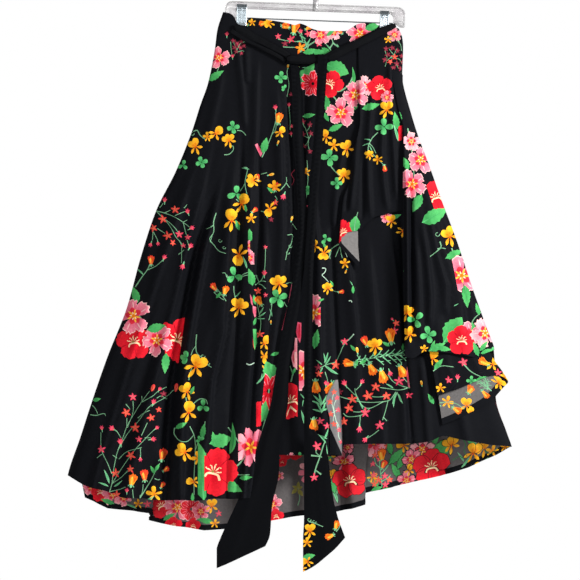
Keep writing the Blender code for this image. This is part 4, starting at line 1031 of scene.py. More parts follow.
    o.add(grid([(252.6, 306), (256.4, 307), (256, 316), (254.6, 317.4), (252.8, 312)]), "pink")
    tendril(o, [(287.5, 235), (292.5, 235), (291, 243.8), (287.5, 251), (285.6, 260)], [(291, 246, 1.8), (288.5, 252.5, 1.9)], 0.42)
    tendril(o, [(216, 213), (213.5, 222), (213.6, 232), (209.5, 239), (214, 245), (219, 251), (226, 253.5)],
            [(221, 240.5, 2.0), (225, 247.5, 1.7)], 0.42)
    stem(o, [(213.5, 225), (210, 227.5), (206.5, 229)], 0.36)
    stem(o, [(212, 235), (211, 239), (210, 242)], 0.3)
    tendril(o, [(222.5, 273), (225, 273), (227.5, 277)], [(228, 276, 1.5)], 0.36)
    stem(o, [(213, 284), (218, 290), (223.5, 297), (226, 301)], 0.45)
    stem(o, [(214, 292), (218, 296), (224, 300)], 0.4)
    lay(o, [("ember", 215, 288.5, 6.4, 35), ("bell", 225, 292, 6.6, -15), ("leaf", 219, 295, 4, -40)])
    # a slip of red and pink that a fold leaves of two blooms
    o.add(grid([(293.4, 283.6), (294.4, 289), (290.6, 306), (287.8, 306), (290.4, 290), (291.6, 284)]), "pink")
    o.add(grid([(288, 305), (290.8, 305), (287, 321), (283.4, 331), (281.8, 330), (284.6, 318)]), "pink_deep")
    o.add(grid([(289.6, 306), (290.8, 305), (287, 321), (283.4, 331)]), "red")
    o.add(ribbon(grid([(295, 169.5), (291.2, 174), (294, 179.6), (291.6, 185)]), 0.9, 0.6), "star_dim")
    # large cluster at the left
    stem(o, [(132, 302), (137, 312), (146, 325)], 0.7)
    lay(o, [("broad", 135.5, 294.5, 8.5, 15), ("red", 133.5, 342, 18, 8), ("pink", 133.5, 316, 17, 12)])
    lay(o, [("red", 177, 340, 23, -20, [line(179, 361, 184.6, 320.6), line(163, 318, 166, 368)])])
    lay(o, [("pink", 157, 340, 15, 30), ("broad", 156.7, 328, 9.6, -78), ("leaf", 165.5, 363.3, 10.5, 176)])
    stem(o, [(196.7, 334.4), (196, 343.3), (196.7, 352.2), (201, 356.7), (205.6, 360), (207.8, 364.4), (211.7, 367.2)], 0.5)
    stem(o, [(196, 346), (193, 350), (191, 355)], 0.36)
    stem(o, [(189, 380), (189.5, 374), (192, 368)], 0.45)
    tendril(o, [(201, 356.7), (203, 357.5)], [(204, 356, 2.2), (209, 363, 1.9)], 0.4)
    lay(o, [("clover2", 187.5, 357.5, 7.4, 80), ("pansy", 196.5, 366, 13.5, -28)])
    # tall spray of stars at the lower left
    spray(o, [[(109, 494), (111.9, 483.8), (113, 475), (115, 462.5), (118, 450), (122.5, 438.8), (127.5, 425), (135, 412.5),
               (142.5, 401), (150, 391)], [(142.5, 401.9), (152.5, 396), (158.8, 390.6), (166.5, 387)],
              [(118, 450), (127.5, 433.8), (138.8, 421), (147.5, 408.8), (152.5, 403.8)],
              [(111.9, 483.8), (122.5, 467.5), (135, 450), (147.5, 436.3), (155, 428.8)], [(145, 437.5), (151.3, 437.5)],
              [(111.9, 483.8), (121, 477.5), (128.8, 470)],
              [(111.9, 473.8), (107.5, 462.5), (102.5, 452.5), (101, 443.8), (101, 432.5)], [(102, 454), (97, 458)],
              [(133, 401), (133, 412.5), (127.5, 427.5)], [(126.9, 418), (126.9, 427.5)], [(126, 404), (130, 409)],
              [(142, 396), (142.5, 401)], [(117, 431), (121, 437.5)], [(147.5, 422.5), (141.9, 435)],
              [(138, 418), (144, 413), (150, 410)], [(117, 458), (113, 455)], [(119, 459), (125, 453), (131, 450), (142, 447)],
              [(140.6, 448), (141, 455)], [(173.8, 390), (165, 397.5), (157, 402), (152, 406)],
              [(157, 398), (161, 396), (167, 399)], [(110, 491.5), (120, 489), (126, 486.5)]],
          [(133, 396.9, 4.8, 0), (126.3, 412.5, 5.2, 20, "red"), (153, 388, 4.0, -20, "bud"), (159.5, 389.5, 3.3, -30, "side"),
           (153.5, 402.5, 4.4, -20, "side"), (156.5, 428, 3.4, -50, "side"), (152.5, 439, 4.4, -80, "side"),
           (131, 468.5, 4.4, 0, "red"), (101.4, 449.4, 4.4, 0), (101.9, 428.8, 3.7, 10, "side"), (113, 428.8, 4.9, 60, "side"),
           (120.6, 442.5, 5.0, 10, "side"), (135.6, 427.5, 5.3, 0, "red"), (151.3, 417.5, 4.6, 10, "red"),
           (158.8, 409.4, 3.5, 0, "red"), (139.4, 438.8, 3.8, 0), (131.3, 455, 5.2, 30, "red"), (140.6, 458, 3.6, 180, "side"),
           (115.6, 473, 4.9, 0, "red"), (176.3, 388, 4.6, -10, "bud"), (163.8, 393.8, 4.0, 0, "dim"),
           (116.9, 494.4, 4.9, 0, "red"), (127.5, 490.5, 3.6, 0, "side")])
    lay(o, [("slim", 107.8, 476, 7.5, 12), ("slim", 104, 483.5, 5.5, 60), ("slim", 118.8, 484, 5.5, -62),
            ("broad", 96.5, 400, 4.2, -80)])
    stem(o, [(90, 415), (96, 415.6), (103.8, 413.6), (105.5, 415.8)], 0.45)
    stem(o, [(91.9, 405.6), (95, 408.8), (97.5, 413.8)], 0.42)
    stem(o, [(140, 498), (151.3, 480), (155, 472.5), (160, 463)], 0.5)
    stem(o, [(140, 496), (142.5, 492.5), (143.5, 484)], 0.42)
    stem(o, [(136, 500), (133.8, 497), (132.8, 489)], 0.42)
    stem(o, [(155, 478), (158, 479.5), (160, 479)], 0.42)
    lay(o, [("ember", 162.5, 456.5, 8.6, -12), ("ember", 144.8, 477, 8.2, 5), ("bell", 132.5, 481.5, 8.6, -15),
            ("ember", 165, 470, 5.2, -60), ("bloomlet", 154.4, 493.5, 8.2, 0), ("ember", 162, 486, 4.8, -30),
            ("leaf", 153, 469.5, 4.6, 30), ("leaf", 157.5, 467, 4.2, -30), ("slim", 150, 499, 6, -70)])
    # chain of yellow blooms, lower middle
    stem(o, [(175, 427.5), (174.6, 433.8), (180, 440), (187.5, 441), (193.8, 435)], 0.5)
    stem(o, [(190, 426), (195, 437.5), (195.6, 452.5), (194.5, 475), (194.5, 494)], 0.45)
    stem(o, [(191, 407), (194, 403), (200, 398.8), (206, 399.5), (208, 404)], 0.45)
    stem(o, [(186, 397), (187, 404), (189, 409)], 0.45)
    stem(o, [(205.5, 421), (204, 432), (199, 441), (196, 449)], 0.5)
    lay(o, [("pansy", 187, 391, 9.5, 25), ("leaf", 192.5, 390, 4.6, -25), ("clover3", 203.5, 406, 7.4, 0),
            ("pansy1", 189, 411.5, 11, 0), ("leaf", 181.5, 425, 6.6, -62), ("leaf", 203.5, 430.5, 7.6, -10),
            ("clover2", 201, 440, 4.6, 30), ("pansy", 184.5, 451.5, 10.5, 60), ("bloomlet", 198.5, 457.5, 7, 20),
            ("pansy1", 193.5, 481, 7.2, 90), ("leaf", 193, 496.5, 4.6, 0)])
    lay(o, [("broad", 202.6, 470, 29, 3, between(198.3, 206.4))])
    # red and pink blooms with leaves, lower right
    stem(o, [(224, 468), (236, 466), (246, 455), (251, 446)], 0.9, 0.6)
    stem(o, [(224, 470), (236, 474), (250, 474)], 0.7)
    stem(o, [(243, 460), (241, 446), (235, 436), (228, 427)], 0.8, 0.5)
    lay(o, [("wideleaf", 220.5, 440.5, 11.5, -76), ("leaf", 214, 438, 7, 10)])
    lay(o, [("curved", 236, 440, 15, -24), ("broad", 231, 486, 12.5, -118), ("leaf", 246, 477, 6.4, -84)])
    lay(o, [("red", 213.5, 471.5, 24.5, -15, [line(204.6, 400, 204.6, 410)]), ("fringed", 251, 446.5, 19.5, 10, between(238.5, 264))])
    stem(o, [(262, 434), (265, 420), (268, 400), (270, 380)], 0.8, 0.6)
    lay(o, [("wideleaf", 271, 373, 13, 24), ("leaf", 275.6, 353.6, 5, -74), ("slim", 261, 380, 6, -50), ("slim", 262, 377, 4, -20, between(259, 264))])
    lay(o, [("carnation", 269, 391, 18, 20, [line(265, 372, 261.4, 408), line(268.4, 412, 279, 375)])])
    lay(o, [("broad", 264.4, 411, 10.6, -14, between(260.8, 269)), ("plainred", 261, 414, 13, 0, between(256.4, 261.2))])
    print_seam(o)
    stem(o, [(284, 430), (286, 433)], 0.6, 0.5, "stem_pale")
    stem(o, [(246.5, 363.5), (250, 364.6), (254.5, 362.5)], 0.6, 0.4, "stem_pale")
    return o


def print_seam(o):
    """The slivers of bloom where the outer wrap's free edge lies over the inner one."""
    o.add(grid([(297.6, 322), (301.4, 323), (301.2, 336), (300, 343), (297.4, 338), (296, 332)]), "pink_deep")
    o.add(grid([(298.6, 324), (300, 324), (299.6, 338), (298.4, 338)]), "red_dark")
    o.add(grid([(295, 338), (297.2, 338), (297.2, 370), (293, 366), (291.2, 358), (292.6, 352), (294.2, 350)]), "pink_pale")
    o.add(grid([(294.6, 352), (296.4, 352), (296.2, 364), (294, 360)]), "blush")
    o.add(grid([(293.4, 355), (294.2, 355), (294.4, 364), (293.2, 361)]), "blotch")
    lay(o, [("pink", 304, 372, 21, 0, between(299, 304.4))])
    stem(o, [(291, 382), (293, 374), (296, 368)], 0.7)
    stem(o, [(293, 374), (291, 369), (290, 366)], 0.6)
    lay(o, [("leaf", 294, 371, 4, -30), ("red", 291, 401, 18.5, 12, [line(287.6, 380, 286, 420), line(297.6, 420, 297.6, 380)])])
    o.add(grid([(286.6, 417.6), (290, 408), (296, 412.6), (297, 411), (290.6, 405.6), (287, 413)]), "cream")


def print_waist(o):
    """Blooms on the cloth above and just under the tie."""
    stem(o, [(300, 51), (308, 45), (318, 39), (327, 36)], 0.8, 0.5)
    stem(o, [(278, 38), (288, 40), (299, 41), (307, 42)], 0.45)
    stem(o, [(283, 46), (292, 46.5), (302, 46), (309, 43)], 0.45)
    stem(o, [(303, 40), (300, 33), (296, 29)], 0.5)
    stem(o, [(309, 44), (307, 49), (305, 53)], 0.5)
    stem(o, [(330, 47), (333, 42), (331, 36)], 0.6)
    stem(o, [(333, 42), (338, 46), (341, 50)], 0.8)
    lay(o, [("bell", 264, 22, 5.6, 100), ("pansy2", 269, 22, 6, 80), ("bell", 246, 23, 4.6, 60),
            ("bloomlet", 252, 21.5, 4, 0), ("ember", 284, 24, 6.0, -70), ("bell", 287, 26, 5.4, 70), ("bell", 294.5, 29, 8.6, -15),
            ("orange_star", 300.5, 47, 6.4, 10), ("bell", 307.5, 27.5, 5.0, -60), ("star", 278, 35.5, 3.8, 0),
            ("star", 290.8, 38.3, 4.6, 10), ("star_dim", 285, 42.8, 3.8, 0), ("floret", 301, 31, 3.8, 20),
            ("star", 308, 33, 4.0, 20), ("star", 319, 42.5, 4.8, 0), ("slim", 303, 36, 4, 50), ("slim", 306, 42, 4.4, 10),
            ("slim", 309, 41, 4.4, -40), ("slim", 300, 40, 3.6, 80), ("leaf", 311, 50.5, 8, -80), ("leaf", 321, 52, 9, -98),
            ("leaf", 327, 50, 6, -120)])
    lay(o, [("pink", 320.5, 34, 9.8, 15), ("pale", 334, 31, 8, 0), ("ember", 341, 31, 5, 40), ("leaf", 351, 33, 6, 60), ("leaf", 331, 31.5, 5.5, -50),
            ("slim", 339, 47, 4.5, 210), ("slim", 329, 46, 4.5, 30)])
    lay(o, [("pink", 360, 33, 13, 0, [line(330, 61, 400, 25)]), ("broad", 373, 26, 8, -75), ("pink", 395, 34, 7, 0), ("bloomlet", 389, 39, 4, 0)])


def print_cluster(o):
    """The large group under the tie at the right."""
    stem(o, [(332, 90), (341, 90), (349, 84), (353, 76)], 0.9, 0.6)
    stem(o, [(332, 94), (338, 101), (345, 108)], 0.8)
    spray(o, [[(386, 66), (388, 58), (386, 50)], [(388, 60), (394, 54), (397, 48)], [(391, 57), (399, 58), (402, 62)],
              [(394, 54), (390, 48)], [(398, 40), (401, 44), (402, 50)], [(396, 62), (399, 68)], [(388, 38), (394, 36), (400, 41)]],
          [(387, 48, 3.2, 0, "dim"), (393, 47, 3.0, 10, "dim"), (398, 50, 3.0, 0, "dim"), (389, 54, 3.4, 20, "dim"),
           (395, 56, 3.6, 0, "red"), (402, 55, 3.0, 0, "dim"), (386, 59, 3.4, 0, "dim"), (391, 61, 3.2, 30, "red"),
           (397, 63, 3.6, 0, "dim"), (403, 61, 3.0, 0, "dim"), (401, 68, 3.4, 0, "dim"), (394, 67, 2.8, 0, "dim")], 0.26)
    lay(o, [("broad", 306, 76, 16, -38), ("carnation", 313, 83, 13, 0), ("wideleaf", 337, 68, 13, -112),
            ("curved", 355.5, 76, 8.6, -18), ("red", 330, 83, 14, -30), ("leaf", 327, 104, 9, 185),
            ("leaf", 326, 116, 5.5, 30), ("leaf", 336, 127, 8, -65), ("leaf", 353.5, 108, 5.5, 120),
            ("pale", 365, 86, 10, 0), ("pink", 355.5, 94, 13.5, 25), ("pink", 341, 112, 14, 0),
            ("leaf", 372, 106, 9.5, -75), ("red", 381, 87.5, 12.8, 10), ("pink", 388, 97, 6.4, 0)])
    lay(o, [("pansy", 387.5, 109, 9.4, 0), ("clover", 385, 126.5, 8.6, 0)])
    lay(o, [("leaf", 397, 120, 9, 10), ("slim", 398, 132, 9, 8)])
    lay(o, [("plainred", 403, 133, 8, 0, between(399.5, 403.2))])
    lay(o, [("pansy1", 326, 136, 7.4, 20), ("bloomlet", 334, 145, 6.6, 0), ("pansy", 347, 148, 9, 20),
            ("clover", 330, 157, 9, 0), ("pansy2", 344, 175, 8.6, 0), ("clover", 337, 183, 6, 0)])
    stem(o, [(331, 166), (336, 172), (340, 175)], 0.5)
    stem(o, [(379, 132), (373, 138), (369.5, 145), (369, 152)], 0.5)
    stem(o, [(370, 143), (374, 147), (377, 153)], 0.4)
    stem(o, [(374, 154), (380, 160), (385, 165)], 0.4)
    lay(o, [("slim", 369, 139, 3.6, 70), ("slim", 366.5, 144, 3.4, 100), ("slim", 372, 148, 3.2, 20), ("pansy2", 370.5, 154.5, 5.4, 10),
            ("bloomlet", 379, 159.5, 5, 20), ("ember", 385.5, 167, 4.6, 190)])


def print_under():
    o = Print()
    print_waist(o)
    print_cluster(o)
    star_spray(o, (309, 138), [(303, 121, 3.4, 0, "dim"), (310, 124, 3.4, 0, "dim"), (303, 134, 3.4, 0, "dim"),
                               (311, 133, 3.2, 0, "dim"), (304, 146, 3.4, 0, "dim"), (310, 151, 3.2, 0, "dim")])
    lay(o, [("leaf", 309, 115, 6.5, -80)])
    stem(o, [(307, 254), (308, 230), (306, 205), (308, 180), (307, 160)], 0.45)
    lay(o, [("bloomlet", 306, 172, 4.6, 0), ("clover", 308, 190, 5, 0), ("floret", 306, 207, 4, 10),
            ("pansy", 307, 226, 6.2, 0), ("leaf", 306, 243, 6, 10), ("star", 308, 258, 3.6, 0)])
    lay(o, [("pink", 314, 313, 17, 0, between(307, 320.5)), ("leaf", 316, 339, 10, -10, between(309, 320.5))])
    # sparse chain right of the fold
    stem(o, [(339, 244), (334, 247), (329.4, 251.4), (330, 258.6)], 0.5)
    stem(o, [(331, 250), (330, 255), (327, 259)], 0.36)
    stem(o, [(340.4, 246), (338, 251), (335.6, 257)], 0.45)
    stem(o, [(340.4, 246), (341, 252), (342.4, 258)], 0.45)
    stem(o, [(340.6, 246), (344, 250), (347.4, 257)], 0.45, 0.3, "stem_pale")
    stem(o, [(322, 268), (325.6, 268.5), (325, 272), (322, 275), (325, 278), (328.6, 282)], 0.45, 0.35, "stem_pale")
    stem(o, [(331, 288), (334, 291), (339, 292)], 0.45)
    stem(o, [(349, 301), (351, 300.6), (352, 302.4)], 0.5, 0.4, "stem_pale")
    lay(o, [("pansy1", 314.6, 245.6, 6.6, 10), ("clover3", 326, 239, 5.6, 20), ("leaf", 325, 246, 4, 30), ("pansy", 324, 253, 8, 170), ("bloomlet", 345, 263.5, 5.4, 0),
            ("ybud", 346.5, 270, 3.6, 160), ("pansy2", 328, 288, 6.8, 10), ("ember", 340.4, 292, 4.2, -80),
            ("leaf", 332, 283.5, 3.4, 30), ("slim", 351.6, 283, 2.8, 20), ("leaf", 353, 289.4, 4, 0), ("leaf", 321, 300, 3.4, -70)])
    # right of the drape's hem
    lay(o, [("pink", 386.6, 217, 6, 0), ("leaf", 396, 216.4, 6, -70), ("pansy", 391.6, 221, 7, 10), ("pansy1", 403.6, 231, 7.4, -60),
            ("slim", 405.7, 258.6, 2.8, -20), ("leaf", 406.4, 269.6, 3.4, -60)])
    stem(o, [(405, 262), (404.6, 266), (405.6, 269)], 0.4, 0.3, "stem_pale")
    heads_only(o, [(396.4, 323, 4.4, 10, "red"), (394.8, 331, 4.2, 0), (392.6, 319.6, 2.4, 40, "side")])
    stem(o, [(354, 334), (350.6, 338), (347.6, 341)], 0.5, 0.35, "stem_pale")
    # bells, ferns and stars
    for run in ([(324, 365.8), (329, 364), (335.8, 361.7), (340, 354), (344, 345), (353, 335)], [(344, 345), (341, 341)],
                [(324, 366), (320, 368)], [(325, 372), (327, 378), (328, 383)],
                [(347, 362), (358, 361.7), (371.7, 358.3), (386.7, 355.8), (406.7, 355)], [(357, 355), (360, 360)],
                [(388.3, 375), (393.3, 381.7), (402, 386), (410, 388.3)], [(410, 387.5), (400, 390), (390, 389), (380, 387.5)],
                [(372, 396.7), (378, 397), (384, 396.5)], [(388.3, 400), (386, 409), (382.5, 420)], [(383, 417), (387, 421)],
                [(379, 430), (374, 434), (368, 438)], [(383.3, 401.7), (370, 408.3), (361.7, 405), (355.8, 393.3), (355, 388.3)],
                [(356, 390), (361, 385)], [(396, 392), (390, 400), (383.3, 401.7)],
                [(340, 396.7), (351.7, 400), (362, 402), (371.7, 402.5), (383.3, 401.7)], [(347.5, 387.5), (351, 391), (355, 395)],
                [(353.3, 411.7), (358, 412), (363.3, 411.7)], [(343.3, 413.3), (348.3, 416.7), (361.7, 415), (370, 408.3)],
                [(360, 416), (360, 420), (359.5, 424)], [(365, 409), (363, 411)], [(397, 392), (399, 397), (401, 402)],
                [(402, 376), (406, 381), (410, 384)]):
        stem(o, run, 0.40)
    for c0, r0, c1, r1 in ((374, 358, 382, 349), (380, 357, 389, 350), (386, 356, 395, 349), (392, 356, 401, 350), (396, 355, 405, 350),
                           (376, 358, 384, 365), (383, 357, 391, 364), (389, 356, 397, 363), (395, 356, 402, 363),
                           (400, 355, 406, 361), (366, 359, 372, 364), (360, 361, 364, 367), (352, 362, 356, 368),
                           (370, 358, 374, 352), (356, 361, 360, 356), (362, 360, 366, 355)):
        mid = ((c0 + c1) / 2 + 0.6, (r0 + r1) / 2 + 0.5)
        stem(o, [(c0, r0), mid, (c1, r1)], 0.62, 0.30, "green_pale")
        stem(o, [mid, (mid[0] + 3.2, mid[1] + (0.5 if r1 < r0 else -0.5))], 0.42, 0.25, "green_pale")
    lay(o, [("slim", 328.5, 361, 5.4, -42), ("slim", 325, 357.5, 4.6, 2), ("slim", 330, 370, 7, -130), ("slim", 320.5, 371, 4.4, 150),
            ("slim", 319.5, 362, 4, 40), ("slim", 333, 372.5, 6, -125), ("slim", 327, 358, 6, -28),
            ("slim", 393.5, 401, 6.4, 165), ("slim", 400, 399, 5.4, 195), ("slim", 390, 385.5, 4.6, 50), ("slim", 394, 398, 6.4, 150),
            ("slim", 361.5, 405, 4.6, 20), ("slim", 357, 397, 4, 10), ("leaf", 363, 362, 4.4, 120), ("leaf", 356, 364, 4.4, 160),
            ("leaf", 353, 348, 4, 40), ("leaf", 386, 344, 4.4, 60), ("leaf", 403, 347, 3.6, 0)])
    lay(o, [("ember", 366, 343, 7.6, 25), ("pansy2", 375.5, 346, 9.4, 10), ("bell", 391, 338.5, 10.6, 6), ("ybud", 357.5, 352.5, 5.4, 10),
            ("bell", 351, 363.6, 8.2, 80), ("bell", 371, 367.5, 8.8, 206), ("bell", 382, 374, 9.8, 196), ("bell", 401, 369, 9.2, 206)])
    heads_only(o, [(335.8, 365, 5.4, 0, "red"), (345, 341.5, 4.4, 0), (318.3, 367.5, 4, 0, "dim"), (319, 374, 4.2, 0, "red"),
                   (328, 385, 3.6, 0, "side"), (390, 372.5, 4.4, 200, "side"), (399, 380.8, 5.4, 0), (375.8, 386.7, 5.4, 0, "red"),
                   (368.3, 395.8, 5.8, 10, "red"), (386.7, 395.8, 5.2, 0, "red"), (380, 425, 5.2, 0), (365.8, 439, 4.6, 140, "side"),
                   (361.7, 382.5, 4.2, -30, "side"), (352.5, 399, 5.2, 0, "red"), (345, 384, 5.0, 30, "side"),
                   (349, 408.3, 5.4, 10, "red"), (365, 412.5, 5.4, 0), (359.4, 428, 5.2, 180, "side"), (344, 421.7, 4.8, 0, "red"),
                   (409, 395.5, 4.2, 0), (340, 392, 3.6, 0, "dim")])
    o.add(grid([(407.4, 366), (406.6, 374), (408.4, 387), (410.2, 388), (408.8, 376)]), "pink")
    lay(o, [("ybud", 422, 385, 4.6, 10), ("leaf", 431, 399, 6, 30)])
    # left of the right tie end, and its neighbours
    for c, r, size, turn in ((321, 400, 7, 0), (318, 399, 6, 35), (325, 400, 6, -35), (316, 402, 5, 60), (328, 402, 5.4, -62),
                             (320, 407, 6, 20), (324, 408, 6, -28), (317, 410, 5, 65), (327, 409, 5, -70)):
        lay(o, [("slim", c, r, size, turn)])
    lay(o, [("bell", 315.8, 384.5, 9.4, 184), ("bell", 331.5, 386, 9.4, 152), ("floret", 325.8, 384, 3.8, 0),
            ("bell", 314, 422.5, 9, 180), ("star", 320, 421, 4.6, 0), ("star", 327, 426, 4.2, 0),
            ("slim", 322, 436, 6, 60), ("slim", 327, 434, 6, -30), ("star_red", 336, 399, 3.4, 0), ("star", 318, 446, 5.2, 0)])
    print_seam(o)
    lay(o, [("slim", 302.6, 396, 3.4, 30), ("slim", 302.6, 403, 3.4, 160), ("slim", 303.6, 417, 7, 4), ("ybud", 299, 66, 2.6, 70),
            ("slim", 305, 66.6, 3, 80), ("bloomlet", 290, 65, 2.6, 0)])
    # tier above its hem, seen from inside, and the foot of the panel
    lay(o, [("leaf", 284, 458, 5.5, -80), ("clover", 300, 457, 4.6, 0), ("pink", 291, 458, 5, 0)])
    return o


def print_drape():
    o = Print()
    print_waist(o)
    print_cluster(o)
    lay(o, [("red", 344.5, 232, 12.5, 15), ("wideleaf", 356, 224.5, 8.8, -8)])
    lay(o, [("pale", 349, 127, 12, 0, [line(362.5, 117, 339.5, 133), line(336, 135, 359, 119)])])
    stem(o, [(356, 232), (356, 224), (359, 212)], 0.6)
    return o


def print_side():
    o = Print()
    stem(o, [(408, 128), (412, 150), (414, 172), (416, 196)], 0.6)
    lay(o, [("leaf", 399, 116, 8, 10), ("pale", 411.5, 141, 9.6, 0), ("pink", 421, 159.5, 13.4, 0),
            ("broad", 406, 163, 7, 20), ("pink", 412.4, 184, 14, 20), ("broad", 417, 203, 10, 150)])
    lay(o, [("red", 436, 197, 16.5, 15, [line(424, 178, 436, 214)])])
    lay(o, [("broad", 435.5, 216, 15, -64), ("pansy", 450, 236, 11, 30)])
    tendril(o, [(440, 241.6), (441, 247), (436, 252), (430, 256.6)], [(438.6, 234, 2.6)], 0.6)
    stem(o, [(437.4, 249), (441, 248), (445.6, 248.6)], 0.5)
    stem(o, [(452, 248), (456, 262), (462, 280), (466, 300)], 0.7)
    lay(o, [("leaf", 454.5, 254, 10, -64), ("pink", 462, 275.6, 18.6, 14, [line(451, 254, 459.4, 298)]), ("leaf", 466.5, 296.5, 11.5, 186),
            ("slim", 456.4, 305, 2.8, -70)])
    lay(o, [("pansy2", 406.5, 313, 9.6, 0), ("pansy", 409.4, 334, 8.4, 20), ("clover3", 416, 319.6, 8.6, -40),
            ("clover", 428.4, 335, 8.6, 10), ("leaf", 437, 347, 9.5, -64), ("leaf", 444, 348.6, 7.4, -100),
            ("leaf", 433, 345, 5, -20), ("bloomlet", 424, 349, 4.4, 0)])
    stem(o, [(455, 350), (452, 338), (452, 328), (456, 318)], 0.7)
    stem(o, [(471, 325), (475, 318), (482, 312)], 0.6)
    lay(o, [("leaf", 478, 309, 6.4, 16), ("wideleaf", 452.6, 330, 16, -36), ("leaf", 474, 330, 8, 10), ("pink", 470, 334, 11.4, 10),
            ("red", 461.6, 340.5, 15, 0), ("pale", 485.6, 333, 14.6, 30), ("leaf", 476, 349, 7.6, 20), ("leaf", 484, 346, 6.4, -40),
            ("leaf", 488, 351.6, 7.4, -76), ("clover2", 493.6, 352, 5, -60)])
    return o


def print_tier():
    o = Print()
    stem(o, [(462, 364), (470, 372), (482, 378)], 0.7)
    stem(o, [(430, 372), (440, 366), (452, 367)], 0.5)
    lay(o, [("pansy", 431, 358, 9, 0), ("leaf", 437, 364, 7, -40), ("star", 462, 362, 5.4, 10),
            ("leaf", 480, 379, 6.5, -70), ("bell", 484, 363, 8, 60), ("pansy1", 492, 364, 8, -40),
            ("star", 497, 373, 4.4, 0), ("star", 447, 380, 4.4, 0), ("bloomlet", 439, 388, 5.2, 0),
            ("floret", 456, 378, 4.4, 0), ("clover", 470, 381, 5, 0), ("bloomlet", 504, 377, 5, 0)])
    fern(o, [(531, 391), (537, 384), (544, 377)], 7, 5, 0.6)
    fern(o, [(535, 390), (532, 382), (530, 376)], 6, 3, 0.5)
    lay(o, [("bell", 553, 391, 7.2, 40), ("bell", 539, 393, 6.4, 150), ("pansy", 520, 383, 8, 60), ("ybud", 585, 405, 5.4, -50),
            ("bell", 569, 409, 7, 120), ("bloomlet", 577, 402, 6.4, 20), ("pansy", 558, 405, 8.4, 0), ("pansy1", 553, 413, 6, 0)])
    stem(o, [(585, 403), (576, 402), (568, 404), (560, 409)], 0.5)
    return o


